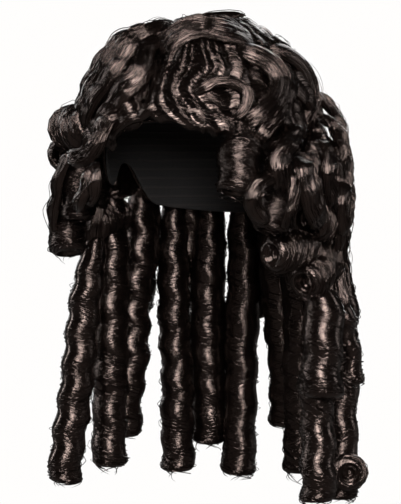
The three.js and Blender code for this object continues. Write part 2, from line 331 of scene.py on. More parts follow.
def mix(pair, t):
    return pair[0] + (pair[1] - pair[0]) * t


# A point over the head at an angle round it, an angle up, and a height above its surface
def onHead(az, lat, lift):
    turn = np.radians(az)
    up = np.radians(lat)
    rise = np.where(up > 0, head["crownRise"], head["napeDrop"])
    x = (head["halfWidth"] + lift) * np.cos(up) * np.sin(turn)
    y = -(head["halfDepth"] + lift) * np.cos(up) * np.cos(turn)
    z = (rise + lift) * np.sin(up) - head["crownRise"]
    return np.stack(np.broadcast_arrays(x, y, z), axis=-1)


# A point beside the head at an angle round it, a height below the origin, and a distance out
# from the combed hair. Below the head's widest level the hair hangs plumb.
def besideHead(az, down, out):
    turn = np.radians(az)
    rise = np.maximum(0, (head["crownRise"] - down) / (head["crownRise"] + hairLift))
    girth = np.sqrt(np.maximum(0, 1 - rise * rise))
    x = ((head["halfWidth"] + hairLift) * girth + out) * np.sin(turn)
    y = -((head["halfDepth"] + hairLift) * girth + out) * np.cos(turn)
    return np.stack([x, y, -down], axis=-1)


def unit(vectors):
    return vectors / np.linalg.norm(vectors, axis=-1, keepdims=True)


# Vectors between those that are given at rising places
def vectorsAt(x, places, vectors):
    return np.stack([np.interp(x, places, vectors[:, k]) for k in range(3)], axis=-1)


# The way along a row of points and the two directions across it, the first along the head
def framesAlong(points):
    along = unit(np.gradient(points, axis=0))
    if abs(along[len(along) // 2, 2]) > 0.7:
        reference = points * np.array([1.0, 1.0, 0.0])
    else:
        reference = np.tile([0.0, 0.0, 1.0], (len(points), 1))
    side = unit(np.cross(reference, along))
    return along, side, np.cross(along, side)


# Strands that lie over the locks and curls: thin three-sided tubes along guides
strandLook = {
    "curlPoints": 13,
    "lockPoints": 23,
    "loosePoints": 17,
    "thickness": 0.00045,
    "tip": 0.14,
    "sides": 3,
    "wildness": 0.00064,
    "wildScale": 60.0,
    "wildSpread": 300.0,
}
guides = {}


def strandTree(look):
    sockets = {
        "Sides": "NodeSocketInt",
        "Thickness": "NodeSocketFloat",
        "Wildness": "NodeSocketFloat",
        "Wild Scale": "NodeSocketFloat",
        "Material": "NodeSocketMaterial",
    }
    tree, maker, given, keys = newTree("loose strands", sockets)
    curves = maker.node("GeometryNodeMeshToCurve", None, {0: given["Geometry"]})
    apart = maker.scaled(maker.read("strand", "FLOAT_VECTOR"), look["wildSpread"])
    place = maker.scaled(maker.node("GeometryNodeInputPosition"), given["Wild Scale"])
    noise = maker.noise(maker.vector("ADD", place, apart), 1.0, "Color")
    offset = maker.scaled(maker.vector("SUBTRACT", noise, (0.5, 0.5, 0.5)), given["Wildness"])
    moved = maker.node("GeometryNodeSetPosition", None, {"Geometry": curves, "Offset": offset})
    circle = {"Resolution": given["Sides"], "Radius": 1.0}
    ring = maker.node("GeometryNodeCurvePrimitiveCircle", None, circle)
    thick = maker.read("thick") * given["Thickness"]
    links = {"Curve": moved, "Profile Curve": ring, "Scale": thick, "Fill Caps": True}
    endTree(maker, maker.node("GeometryNodeCurveToMesh", None, links), given["Material"])
    return tree, keys


# Keeps strands for one of the finished pieces: rows of points, and how thick each point is
def keepStrands(group, rng, points, thick):
    count, steps = points.shape[:2]
    along = np.zeros((count, steps))
    along[:, 1:] = np.cumsum(np.linalg.norm(np.diff(points, axis=1), axis=2), axis=1)
    strand = np.zeros(points.shape)
    strand[..., :2] = rng.uniform(0, 0.5, (count, 1, 2))
    strand[..., 2] = along
    guides.setdefault(group, []).append((points, strand, thick))


def taper(steps):
    u = np.linspace(0, 1, steps)
    return mix((strandLook["tip"], 1), np.minimum(1, 4.5 * np.minimum(u, 1 - u)) ** 0.8)


# Strands above or below a surface: a few stray well away from it, and all sink in at both ends
def strandLift(rng, count, u, look):
    wild = rng.uniform(0, 1, (count, 1)) ** look["rarity"]
    lift = rng.uniform(*look["lift"], (count, 1)) + look["stray"] * wild * np.sin(np.pi * u)
    return lift - look["sunk"] * (1 - np.minimum(1, 5 * np.minimum(u, 1 - u))), wild


# Strands that start anywhere across a lock and drift a little to one side
def strandAcross(rng, count, u, look):
    wide, drift = look["across"], look["drift"]
    return rng.uniform(-wide, wide, (count, 1)) + rng.uniform(-drift, drift, (count, 1)) * u


def strandThickness(rng, count, steps, wild, look):
    return taper(steps)[None, :] * rng.uniform(*look["thick"], (count, 1)) * (1 - 0.5 * wild)


def makeStrands(look):
    tree, keys = strandTree(look)
    for group, kept in guides.items():
        points = np.concatenate([entry[0].reshape(-1, 3) for entry in kept])
        strand = np.concatenate([entry[1].reshape(-1, 3) for entry in kept])
        thick = np.concatenate([entry[2].ravel() for entry in kept])
        edges = []
        first = 0
        total = 0
        for entry in kept:
            count, steps = entry[0].shape[:2]
            for start in range(first, first + count * steps, steps):
                edges.extend((place, place + 1) for place in range(start, start + steps - 1))
            first += count * steps
            total += count
        source = meshObject(group, points, [], {"strand": strand, "thick": thick}, edges)
        settings = {
            "Sides": look["sides"],
            "Thickness": look["thickness"],
            "Wildness": look["wildness"],
            "Wild Scale": look["wildScale"],
            "Material": hair,
        }
        piece = throughTree(source, tree, keys, settings, group)
        finishPiece(piece, "hair")
        print(group, "strands:", total, "faces:", len(piece.data.polygons))


# Rolled curls and ringlets: a path in mesh code, and Geometry Nodes roll the hair round it
curlLook = {
    "pitch": 0.031,  # from one turn of the winding to the next
    "pitchVaries": (0.86, 1.16),
    "rowStep": 0.00085,
    "backRowStep": 0.0011,
    "columns": 26,
    "skin": 0.0006,  # how far the hair stays inside the curl's own radius
    "fullness": (0.45, 0.96),  # at the root and at the end
    "swell": 0.05,
    "lean": 0.0010,
    "leanVaries": (0.6, 1.2),
    "drift": {"ringlet": 0.0028, "curl": 0.0014},
    "growsIn": {"lean": 0.15, "drift": 0.2, "tiers": 0.12},  # over a share of the length
    "tierDepth": 0.06,
    "rootCap": 0.0015,
    "rim": 0.0052,
    "rimRows": 8,
    "flare": 0.07,
    "flareFrom": 0.86,
    "hollow": 0.011,
    "hollowShare": 0.3,
    "hollowRows": 17,
    "endsVary": 0.009,
    "spiral": 0.0050,
    "spiralDepth": 0.0007,
    "bundleWidth": 0.0023,
    "bundleLength": 0.06,
    "bundleDepth": 0.0003,
    "tressWidth": 0.0065,
    "tressLength": 0.18,
    "tressDepth": 0.0004,
    "weld": 0.00002,
    "calm": {"ringlet": 1.0, "curl": 0.0},
    "strands": {
        "from": 0.004,
        "turns": (0.55, 1.1),
        "slope": (0.8, 1.2),
        "perMetre": {"ringlet": 380, "curl": 950},
        "lift": (-0.0002, 0.0005),
        "stray": 0.0035,
        "rarity": 12,
        "sunk": 0.0012,
        "thick": (0.6, 1.25),
    },
    "tips": {
        "count": 14,
        "turns": (0.5, 0.95),
        "from": (0.002, 0.014),
        "past": (0.008, 0.020),
        "reach": 0.007,
        "closing": (0.25, 0.7),
        "lift": (-0.0004, 0.0006),
        "sunk": 0.0012,
        "thick": (0.7, 1.3),
    },
}


# The surface of a curl from its guide, which has one point for each ring of the surface
def curlTree(look):
    sockets = {
        "Columns": "NodeSocketInt",
        "Pitch": "NodeSocketFloat",
        "Tier Depth": "NodeSocketFloat",
        "Bundle Depth": "NodeSocketFloat",
        "Calm": "NodeSocketFloat",
        "Seed": "NodeSocketFloat",
        "Material": "NodeSocketMaterial",
    }
    tree, maker, given, keys = newTree("rolled curl", sockets)
    guide = given["Geometry"]
    count = maker.node("GeometryNodeAttributeDomainSize", {"component": "MESH"}, {0: guide})
    columns = given["Columns"]
    grid = maker.node("GeometryNodeMeshGrid", None, {"Vertices X": count, "Vertices Y": columns + 1})
    index = maker.node("GeometryNodeInputIndex")
    row = maker.math("FLOOR", (index + 0.5) / (columns + 1))
    column = index - row * (columns + 1)

    def atRow(value, kind):
        links = {"Geometry": guide, "Value": value, "Index": row}
        return maker.node("GeometryNodeSampleIndex", {"data_type": kind}, links)

    def fromGuide(title, kind="FLOAT"):
        return atRow(maker.read(title, kind), kind)

    centre = atRow(maker.node("GeometryNodeInputPosition"), "FLOAT_VECTOR")
    angle = column / columns * (-2 * math.pi)
    pitch = given["Pitch"]
    acrossStrands = fromGuide("across") + fromGuide("turn") * column / columns
    phase = acrossStrands / pitch
    circle = pitch / (2 * math.pi)
    winding = phase * (2 * math.pi)
    strand = maker.combine(
        circle * maker.math("COSINE", winding),
        circle * maker.math("SINE", winding),
        fromGuide("along") + given["Seed"],
    )
    bulge = maker.math("SINE", maker.math("FRACT", phase) ** 0.8 * math.pi)
    tier = 1 - given["Tier Depth"] * fromGuide("tier") * (1 - bulge ** 0.55)
    dip = combedDip(maker, strand, given["Bundle Depth"], look)
    radius = fromGuide("radius") * tier + dip * fromGuide("relief")
    swirl = maker.math("COSINE", fromGuide("radius") * (2 * math.pi / look["spiral"]) + angle)
    sideways = maker.scaled(fromGuide("side", "FLOAT_VECTOR"), radius * maker.math("COSINE", angle))
    outward = maker.scaled(fromGuide("outward", "FLOAT_VECTOR"), radius * maker.math("SINE", angle))
    endways = maker.scaled(fromGuide("way", "FLOAT_VECTOR"), swirl * fromGuide("swirl"))
    offset = maker.vector("ADD", sideways, maker.vector("ADD", outward, endways))
    place = maker.vector("ADD", centre, offset)
    placed = maker.node("GeometryNodeSetPosition", None, {"Geometry": grid, "Position": place})
    kept = maker.store(placed, "strand", strand, "FLOAT_VECTOR")
    kept = maker.store(kept, "calm", given["Calm"])
    links = {"Geometry": kept, "Distance": look["weld"]}
    closed = maker.node("GeometryNodeMergeByDistance", None, links)
    endTree(maker, closed, given["Material"])
    return tree, keys


# How full a lock is at a share along it: thinner at the root and at the tip
def fullness(t, root, tip, ends=0.2):
    atRoot = root + (1 - root) * np.sqrt(np.clip(t / ends, 0, 1))
    atTip = tip + (1 - tip) * np.sqrt(np.clip((1 - t) / ends, 0, 1))
    return np.minimum(atRoot, atTip)


# The rings of a curl: how far each is from the root, down its outside, round the rim by angles and
# back up the hollow by shares of its radius
def curlRings(length, rim, hollow, step, look):
    outer = np.linspace(0, length - rim, int((length - rim) / step))
    bend = np.linspace(0, math.pi / 2, look["rimRows"] + 1)[1:]
    face = np.linspace(1, 0, look["hollowRows"] + 1)[1:]
    sink = hollow * (1 - face ** 1.8)
    onRim = length - rim + rim * np.sin(bend)
    places = np.concatenate([[-look["rootCap"]], outer, onRim, length - sink])
    return places, outer, bend, face


def kindOf(name):
    return "ringlet" if name.startswith("ringlet") else "curl"


# What a curl's tree reads at each ring, and its course for the strands that wind round it
def curlGuide(name, row, look):
    rng = seededFor(name)
    hanging = kindOf(name) == "ringlet"
    size = row["size"]
    fine = np.linspace(0, 1, 401)
    route = besideHead(mix(row["az"], fine), mix(row["down"], fine), mix(row["out"], fine))
    length = np.linalg.norm(np.diff(route, axis=0), axis=1).sum()
    hand = 1 if row["az"][0] > 0 else -1
    pitch = look["pitch"] * rng.uniform(*look["pitchVaries"])
    leanBy = look["lean"] * size * rng.uniform(*look["leanVaries"])
    body = size * curlRadius - leanBy - look["skin"]
    rim = look["rim"] * size
    if hanging:
        length -= rng.uniform(0, look["endsVary"])
    behind = name.startswith(("ringlet_back", "ringlet_upper"))
    step = look["backRowStep" if behind else "rowStep"]
    hollow = min(look["hollow"] * size, look["hollowShare"] * length)
    places, outer, bend, face = curlRings(length, rim, hollow, step, look)
    t = np.clip(places / length, 0, 1)
    onOutside = np.concatenate([[0], np.ones(len(outer) + len(bend)), np.zeros(len(face))])

    swell = 1 + look["swell"] * wander(rng, t, 5)
    nearEnd = np.clip((t - look["flareFrom"]) / (1 - look["flareFrom"]), 0, 1)
    flare = 1 + look["flare"] * nearEnd ** 2 * hanging
    wide = body * fullness(t, *look["fullness"]) * swell * flare
    rimWide = wide[len(outer)]
    onRim = rimWide - rim + rim * np.cos(bend)
    radii = np.concatenate([[0.0], wide[1:len(outer) + 1], onRim, (rimWide - rim) * face])

    along, across = framesAlong(route)[:2]
    way = unit(vectorsAt(t, fine, along))
    side = unit(vectorsAt(t, fine, across))
    outward = np.cross(way, side)
    centre = vectorsAt(t, fine, route)
    centre = centre + way * (places - t * length)[:, None]
    turn = -hand * 2 * np.pi * places / pitch + rng.uniform(0, 6)
    growsIn = look["growsIn"]
    lean = leanBy * np.minimum(1, t / growsIn["lean"])
    centre = centre + side * (lean * np.cos(turn))[:, None] + outward * (lean * np.sin(turn))[:, None]
    drift = look["drift"][kindOf(name)] * np.minimum(1, t / growsIn["drift"])
    centre = centre + side * (drift * wander(rng, t))[:, None]
    centre = centre + outward * (0.7 * drift * wander(rng, t))[:, None]

    inside = 1 - onOutside
    acrossStrands = np.where(inside > 0, length + rimWide - rim - radii, places)
    faded = np.clip(t / growsIn["tiers"], 0, 1)
    swirled = np.concatenate([np.zeros(1 + len(outer) + len(bend)), np.sin(np.pi * face) ** 0.5])
    onBend = np.linspace(1, 0.5, len(bend))
    values = {
        "radius": radii,
        "across": acrossStrands + rng.uniform(0, pitch),
        "turn": hand * pitch * onOutside,
        "along": places * 2 * math.pi * body / pitch,
        "tier": onOutside * faded,
        "relief": np.concatenate([[0], faded[1:len(outer) + 1], onBend, 0.5 * face]),
        "swirl": look["spiralDepth"] * size * inside * swirled,
        "side": side,
        "outward": outward,
        "way": way,
    }
    course = {
        "places": places,
        "centre": centre,
        "hand": hand,
        "pitch": pitch,
        "length": length,
        "rim": rim,
    }
    return values, course


# Each curl from its root to its open end: degrees round the head, distances below the origin
# as shares of the crown's rise, distances out and sizes as shares of the curl's radius
rolls = {
    "temple_curl_left": {"az": (44, 39), "down": (0.83, 1.28), "out": (0.7, 1.15), "size": 1.15},
    "side_curl_left_1": {"az": (66, 56), "down": (0.99, 1.6), "out": (0.65, 0.9), "size": 1},
    "side_curl_left_2": {"az": (86, 58), "down": (1.72, 1.8), "out": (0.6, 0.8), "size": 1},
    "side_curl_left_3": {"az": (108, 77), "down": (1.46, 1.54), "out": (1.3, 1.1), "size": 1.2},
    "side_curl_left_4": {"az": (102, 74), "down": (1.82, 2.05), "out": (1, 1.25), "size": 1.05},
    "side_curl_left_5": {"az": (97, 90), "down": (0.86, 1.36), "out": (0.75, 1), "size": 1.1},
    "side_curl_right_1": {"az": (-46, -70), "down": (0.76, 0.74), "out": (0.5, 1.5), "size": 1.15},
    "side_curl_right_2": {"az": (-100, -78), "down": (0.91, 0.98), "out": (1.5, 2.1), "size": 0.9},
    "side_curl_right_3": {"az": (-60, -62), "down": (1, 1.52), "out": (0.75, 0.8), "size": 1},
    "side_curl_right_4": {"az": (-77, -69), "down": (1.28, 1.82), "out": (1.75, 1.4), "size": 1},
    "side_curl_right_5": {"az": (-114, -88), "down": (1.5, 1.6), "out": (1, 0.9), "size": 1.05},
    "side_curl_right_6": {"az": (-90, -86), "down": (0.5, 0.9), "out": (0.9, 1.1), "size": 1},
    "side_curl_right_7": {"az": (-90, -84), "down": (1.05, 1.42), "out": (0.7, 0.9), "size": 1.1},
}
# Ringlets end at a share of the wig's length instead
sideRinglets = {
    "ringlet_left_1": {"az": (84, 80), "down": (2.1, 0.76), "out": (1.5, 1.75), "size": 1.1},
    "ringlet_left_2": {"az": (88, 84), "down": (2.6, 0.985), "out": (0.9, 1.25), "size": 0.95},
    "ringlet_left_3": {"az": (111, 106), "down": (1.96, 1), "out": (1.6, 1.85), "size": 0.95},
    "ringlet_left_4": {"az": (95, 103), "down": (2.25, 0.74), "out": (2, 2.25), "size": 0.7},
    "ringlet_right_1": {"az": (-89, -84), "down": (1.7, 0.98), "out": (0.75, 2.3), "size": 0.95},
}
backLocks = {"count": 9, "az": (104, 265), "lat": (69, -14), "rise": 0.35}
backRinglets = [
    {"sway": -3, "to": 0.91, "out": (0.75, 1.7), "size": 1.06},
    {"sway": 2, "to": 0.98, "out": (0.75, 1), "size": 1},
    {"sway": -2, "to": 0.88, "out": (0.75, 1.75), "size": 1.12},
    {"sway": 3, "to": 1, "out": (0.75, 1.1), "size": 1.02},
    {"sway": 1, "to": 0.93, "out": (0.75, 1.6), "size": 1.08},
    {"sway": -2, "to": 0.99, "out": (0.75, 1), "size": 0.98},
    {"sway": 3, "to": 0.9, "out": (0.75, 1.8), "size": 1.1},
    {"sway": -1, "to": 0.96, "out": (0.75, 1.2), "size": 1.03},
]
ringletTuck = 0.005
upperRinglets = [
    {"across": 0.2, "sway": -2, "from": 1.14, "to": 0.6, "out": (0.5, 2.2), "size": 0.92},
    {"across": 0.36, "sway": 2, "from": 1.1, "to": 0.53, "out": (0.5, 2.1), "size": 0.98},
    {"across": 0.5, "sway": -2, "from": 1.15, "to": 0.63, "out": (0.5, 2.25), "size": 0.9},
    {"across": 0.66, "sway": 2, "from": 1.09, "to": 0.55, "out": (0.5, 2.1), "size": 1},
    {"across": 0.81, "sway": -1, "from": 1.13, "to": 0.61, "out": (0.5, 2.2), "size": 0.94},
]
# The end of a side ringlet that has rolled over and faces the front
turnedEnd = {
    "turned_end_left": {"az": (106, 96), "down": (3.70, 3.71), "out": (1.9, 2.3), "size": 1},
}


def shares(pair, first, second):
    return pair[0] * first, pair[1] * second


def hangingFrom(row, az, top):
    return {
        "az": (az, az + row["sway"]),
        "down": (top, row["to"] * wigLength),
        "out": shares(row["out"], curlRadius, curlRadius),
        "size": row["size"],
    }


# Every curl and ringlet by name, with its places in metres
def allCurls():
    rise = head["crownRise"]
    curls = {}
    for name, row in {**rolls, **turnedEnd, **sideRinglets}.items():
        down = shares(row["down"], rise, wigLength if name in sideRinglets else rise)
        curls[name] = {**row, "down": down, "out": shares(row["out"], curlRadius, curlRadius)}
    width = (backLocks["az"][1] - backLocks["az"][0]) / backLocks["count"]
    top = -float(onHead(0, backLocks["lat"][1], lockLift)[2]) - ringletTuck
    for number, row in enumerate(backRinglets, 1):
        az = backLocks["az"][0] + (number + 0.5) * width
        curls[f"ringlet_back_{number}"] = hangingFrom(row, az, top)
    for number, row in enumerate(upperRinglets, 1):
        az = mix(backLocks["az"], row["across"])
        curls[f"ringlet_upper_{number}"] = hangingFrom(row, az, row["from"] * rise)
    return curls


# Points round a curl at distances along it, angles round it and lifts from its surface
def roundCurl(values, course, place, theta, lift, shrink=1.0):
    outside = np.nonzero(values["tier"] > 0)[0]
    places = course["places"]
    rimless = outside[places[outside] < course["length"] - course["rim"] * 0.8]
    radius = np.interp(place, places[rimless], values["radius"][rimless]) * shrink + lift
    centre, side, outward, way = [
        vectorsAt(place, places[outside], part[outside])
        for part in (course["centre"], values["side"], values["outward"], values["way"])
    ]
    angle = -course["hand"] * theta
    beyond = np.maximum(0, place - places[outside].max())
    points = centre + side * (radius * np.cos(angle))[..., None]
    return points + outward * (radius * np.sin(angle))[..., None] + way * beyond[..., None]


# Strands that wind round a curl beside its rolled hair
def curlStrands(name, values, course, look):
    rng = seededFor(name + " strands")
    strands = look["strands"]
    steps = strandLook["curlPoints"]
    low, high = strands["from"], course["length"] - 0.8 * course["rim"]
    count = max(6, int(strands["perMetre"][kindOf(name)] * (high - low)))
    u = np.linspace(0, 1, steps)[None, :]
    turns = rng.uniform(*strands["turns"], (count, 1)) * 2 * np.pi
    theta = rng.uniform(0, 2 * np.pi, (count, 1)) + turns * u
    start = rng.uniform(low - 0.008, high - 0.004, (count, 1))
    slope = course["pitch"] / (2 * np.pi) * rng.uniform(*strands["slope"], (count, 1))
    place = np.clip(start + slope * turns * u, low, high)
    lift, wild = strandLift(rng, count, u, strands)
    points = roundCurl(values, course, place, theta, lift)
    group = "ringlet_strands" if kindOf(name) == "ringlet" else "side_curl_strands"
    keepStrands(group, rng, points, strandThickness(rng, count, steps, wild, strands))
    curlTips(rng, values, course, look["tips"], high, group)


# The tips that curl in past a curl's end
def curlTips(rng, values, course, look, high, group):
    steps = strandLook["curlPoints"]
    count = look["count"]
    u = np.linspace(0, 1, steps)[None, :]
    turns = rng.uniform(*look["turns"], (count, 1)) * 2 * np.pi
    theta = rng.uniform(0, 2 * np.pi, (count, 1)) + turns * u
    start = high - rng.uniform(*look["from"], (count, 1))
    place = start + rng.uniform(*look["past"], (count, 1)) * u
    past = np.clip((place - high) / look["reach"], 0, 1)
    shrink = 1 - rng.uniform(*look["closing"], (count, 1)) * past ** 1.4
    lift = rng.uniform(*look["lift"], (count, 1)) - look["sunk"] * (1 - np.minimum(1, 5 * u))
    points = roundCurl(values, course, place, theta, lift, shrink)
    thick = taper(steps)[None, :] * rng.uniform(*look["thick"], (count, 1))
    keepStrands(group, rng, points, thick)


def makeCurls(look):
    tree, keys = curlTree(look)
    for name, row in allCurls().items():
        values, course = curlGuide(name, row, look)
        curlStrands(name, values, course, look)
        guide = meshObject("guide", course["centre"], [], values)
        settings = {
            "Columns": look["columns"],
            "Pitch": course["pitch"],
            "Tier Depth": look["tierDepth"],
            "Bundle Depth": look["bundleDepth"],
            "Calm": look["calm"][kindOf(name)],
            "Seed": float(seededFor(name).uniform(1, 9)),
            "Material": hair,
        }
        curl = throughTree(guide, tree, keys, settings, name + "_hair")
        nodes = [] if name in turnedEnd else [name]
        finishPiece(curl, "hair", *nodes)
    print("curls and ringlets rolled:", len(allCurls()))


makeCurls(curlLook)


# Waved locks that lie on the head
waveLook = {
    "depth": 0.0128,
    "rowStep": {"front": 0.0015, "crown": 0.0020, "back": 0.0021},
    "fewestRows": 12,
    "topColumns": {"front": 66, "crown": 46, "back": 48},
    "underColumns": 4,
    "overlap": 0.15,
    "bundleWidth": 0.0021,
    "bundleLength": 0.050,
    "bundleDepth": 0.0003,
    "tressWidth": 0.0065,
    "tressLength": 0.10,
    "tressDepth": 0.0004,
    "raggedWidth": 0.0013,
    "raggedLength": 0.040,
    "ragged": 0.38,
    "shift": 0.45,
    "shiftWidth": 0.006,
    "tilt": 0.0012,
    "endSlimness": 0.45,
    "endHeight": 0.25,
    "strands": {
        "perArea": 13000,
        "reach": (0.040, 0.062),
        "start": (-0.35, 0.9),
        "across": 0.93,
        "drift": 0.12,
        "lift": (-0.0003, 0.0003),
        "stray": 0.004,
        "rarity": 12,
        "sunk": 0.0010,
        "thick": (0.6, 1.3),
    },
}


# Presses the bundles and tresses of combed hair into a surface, as deep as its relief says
def combTree(look):
    sockets = {
        "Bundle Depth": "NodeSocketFloat",
        "Seed": "NodeSocketFloat",
        "Material": "NodeSocketMaterial",
    }
    tree, maker, given, keys = newTree("combed strands", sockets)
    strand = maker.read("strand", "FLOAT_VECTOR")
    shifted = maker.vector("ADD", strand, maker.combine(0.0, 0.0, given["Seed"]))
    dip = combedDip(maker, shifted, given["Bundle Depth"], look)
    offset = maker.scaled(maker.node("GeometryNodeInputNormal"), dip * maker.read("relief"))
    links = {"Geometry": given["Geometry"], "Offset": offset}
    moved = maker.node("GeometryNodeSetPosition", None, links)
    endTree(maker, maker.store(moved, "strand", shifted, "FLOAT_VECTOR"), given["Material"])
    return tree, keys


combing = combTree(waveLook)


# A closed tube over a grid of points, a row for each section, with a pole at each end
def tubeFaces(rows, columns):
    faces = []
    for row in range(rows - 1):
        for column in range(columns):
            right = (column + 1) % columns
            here = row * columns
            faces.append((here + column, here + right, here + columns + right, here + columns + column))
    pole = rows * columns
    last = (rows - 1) * columns
    for column in range(columns):
        right = (column + 1) % columns
        faces.append((pole, right, column))
        faces.append((pole + 1, last + column, last + right))
    return faces


def pointsInwards(points, faces):
    corners = np.array([(face[0], face[1], face[2]) for face in faces])
    rest = np.array([(face[0], face[2], face[3]) for face in faces if len(face) == 4])
    corners = np.concatenate([corners, rest])
    a, b, c = points[corners[:, 0]], points[corners[:, 1]], points[corners[:, 2]]
    return float(np.sum(a * np.cross(b, c))) < 0


# Tubes of combed hair as one piece. Each tube has a grid of points, their strand coordinates,
# how deep the strands lie in it, and the two poles that close it.
def combedPiece(name, tubes, slot, depth, seed, *nodes):
    points, faces, strands, reliefs = [], [], [], []
    for grid, strand, relief, poles in tubes:
        first = sum(len(part) for part in points)
        own = np.concatenate([grid.reshape(-1, 3), poles])
        ownFaces = tubeFaces(*grid.shape[:2])
        if pointsInwards(own - own.mean(axis=0), ownFaces):
            ownFaces = [tuple(reversed(face)) for face in ownFaces]
        points.append(own)
        faces.extend(tuple(first + corner for corner in face) for face in ownFaces)
        strands.append(np.concatenate([strand.reshape(-1, 3), strand[0, :1], strand[-1, :1]]))
        reliefs.append(np.concatenate([relief.ravel(), [0, 0]]))
    attributes = {"strand": np.concatenate(strands), "relief": np.concatenate(reliefs)}
    source = meshObject(name, np.concatenate(points), faces, attributes)
    tree, keys = combing
    settings = {"Bundle Depth": depth, "Seed": seed, "Material": net if slot == "cap_net" else hair}
    finishPiece(throughTree(source, tree, keys, settings, name), slot, *nodes)


def locksPiece(name, tubes, *nodes):
    seed = float(seededFor(name).uniform(1, 9))
    combedPiece(name + "_hair", tubes, "hair", waveLook["bundleDepth"], seed, *nodes)


# The section of a lying lock: its share of the half width, its share of the height, and how
# far round the section it is
def lyingSection(look, columns, squareness):
    angle = np.linspace(0, np.pi, columns)
    across = -np.sign(np.cos(angle)) * np.abs(np.cos(angle)) ** 0.8
    height = np.maximum(0, np.sin(angle)) ** mix(squareness, (across + 1) / 2)
    under = np.linspace(1, -1, look["underColumns"] + 2)[1:-1]
    across = np.concatenate([across, under])
    height = np.concatenate([height, np.zeros(len(under))])
    onTop = np.concatenate([np.sin(angle) ** 0.3, np.zeros(len(under))])
    return across, height, onTop


# A lock's roundness at its ends: 0 at the very end, 1 a little way in
def rounded(distance, reach):
    inside = np.clip(distance / reach, 0, 1)
    return (1 - (1 - inside) ** 2.2) ** (1 / 2.2)


# Random values from -1 to 1 in long narrow cells, so that strands side by side differ
def strandNoise(rng, across, along, width, length):
    table = rng.uniform(-1, 1, (61, 61))
    u = np.mod(across / width, 60)
    v = np.mod(along / length + 0.37 * np.floor(u), 60)
    i, j = np.floor(u).astype(int), np.floor(v).astype(int)
    a, b = u - i, v - j
    b = b * b * (3 - 2 * b)
    left = table[i, j] * (1 - b) + table[i, j + 1] * b
    right = table[i + 1, j] * (1 - b) + table[i + 1, j + 1] * b
    return left * (1 - a) + right * a


# One lock that lies on the head. Its place is a function of the share along it, the share across
# it from -1 to 1 and the height, and its wave a function of the same shares and a raggedness.
def lyingLock(name, place, wave, rise, ends, squareness=(0.22, 0.22)):
    look = waveLook
    depth = look["depth"]
    rng = seededFor(name)
    region = name.split("_")[0]
    t = np.linspace(0, 1, 60)
    line = place(t, np.zeros_like(t), np.zeros_like(t))
    length = np.linalg.norm(np.diff(line, axis=0), axis=1).sum()
    rows = max(look["fewestRows"], int(length / look["rowStep"][region]))
    t = np.linspace(0, 1, rows + 2)[1:-1]
    middle = place(t, np.zeros_like(t), np.zeros_like(t))
    halfWidth = np.linalg.norm(place(t, np.ones_like(t), np.zeros_like(t)) - middle, axis=1)
    meanWidth = float(halfWidth.mean())

    def fullAt(t):
        return np.minimum(rounded(t * length, ends[0]), rounded((1 - t) * length, ends[1]))

    def slimAt(full):
        return (look["endSlimness"] + (1 - look["endSlimness"]) * full) * (1 + look["overlap"])

    across, height, onTop = lyingSection(look, look["topColumns"][region], squareness)
    full = fullAt(t)
    spread = across[None, :] * slimAt(full)[:, None]
    tall = (depth * (1 + rise * t) * full)[:, None] * height[None, :]
    sideStep = np.hypot(np.diff(across) * meanWidth, np.diff(height) * depth)
    along = (t * length)[:, None]
    acrossHere = across[None, :] * halfWidth[:, None] + 0.1
    fray = strandNoise(rng, acrossHere, along, look["raggedWidth"], look["raggedLength"])
    shiftSeed = seededFor(name + " shift")
    shift = strandNoise(shiftSeed, acrossHere, along, look["shiftWidth"], 2 * look["raggedLength"])
    ragged = look["ragged"] * fray + look["shift"] * shift
    crest = wave(t[:, None], spread, ragged) * (full[:, None] * onTop[None, :])
    tilt = rng.uniform(-look["tilt"], look["tilt"]) * spread * full[:, None] * onTop[None, :]
    grid = place(t[:, None], spread, np.maximum(tall + crest + tilt, 0))
    strand = np.zeros(grid.shape)
    strand[..., 0] = np.concatenate([[0], np.cumsum(sideStep)])[None, :]
    strand[..., 2] = along
    relief = full[:, None] ** 0.5 * onTop[None, :]
    endLift = depth * look["endHeight"] * np.array([1, 1 + rise])
    poles = place(np.array([0.0, 1.0]), np.zeros(2), endLift)
    locksPiece(name, [(grid, strand, relief, poles)], name)

    def surface(t, across, ragged, extra):
        full = fullAt(t)
        height = np.maximum(0, 1 - np.abs(across) ** 2.5) ** (mix(squareness, (across + 1) / 2) / 2)
        spread = across * slimAt(full)
        tall = depth * (1 + rise * t) * full * height + wave(t, spread, ragged) * full
        return place(t, spread, np.maximum(tall, 0) + extra)

    lockStrands(name, surface, length, meanWidth, look)


# Strands that run along a lying lock, a little above or below its surface
def lockStrands(name, surface, length, halfWidth, look):
    rng = seededFor(name + " strands")
    strands = look["strands"]
    count = int(strands["perArea"] * length * 2 * halfWidth)
    steps = strandLook["lockPoints"]
    u = np.linspace(0, 1, steps)[None, :]
    reach = rng.uniform(*strands["reach"], (count, 1)) / length
    start = np.maximum(0, rng.uniform(*strands["start"], (count, 1)))
    t = np.clip(start + reach * u, 0, 1)
    across = strandAcross(rng, count, u, strands)
    lift, wild = strandLift(rng, count, u, strands)
    ragged = rng.uniform(-1, 1, (count, 1)) * look["ragged"]
    points = surface(t, np.clip(across, -0.97, 0.97), ragged, lift)
    group = "front_strands" if name.startswith("front") else "crown_and_back_strands"
    keepStrands(group, rng, points, strandThickness(rng, count, steps, wild, strands))


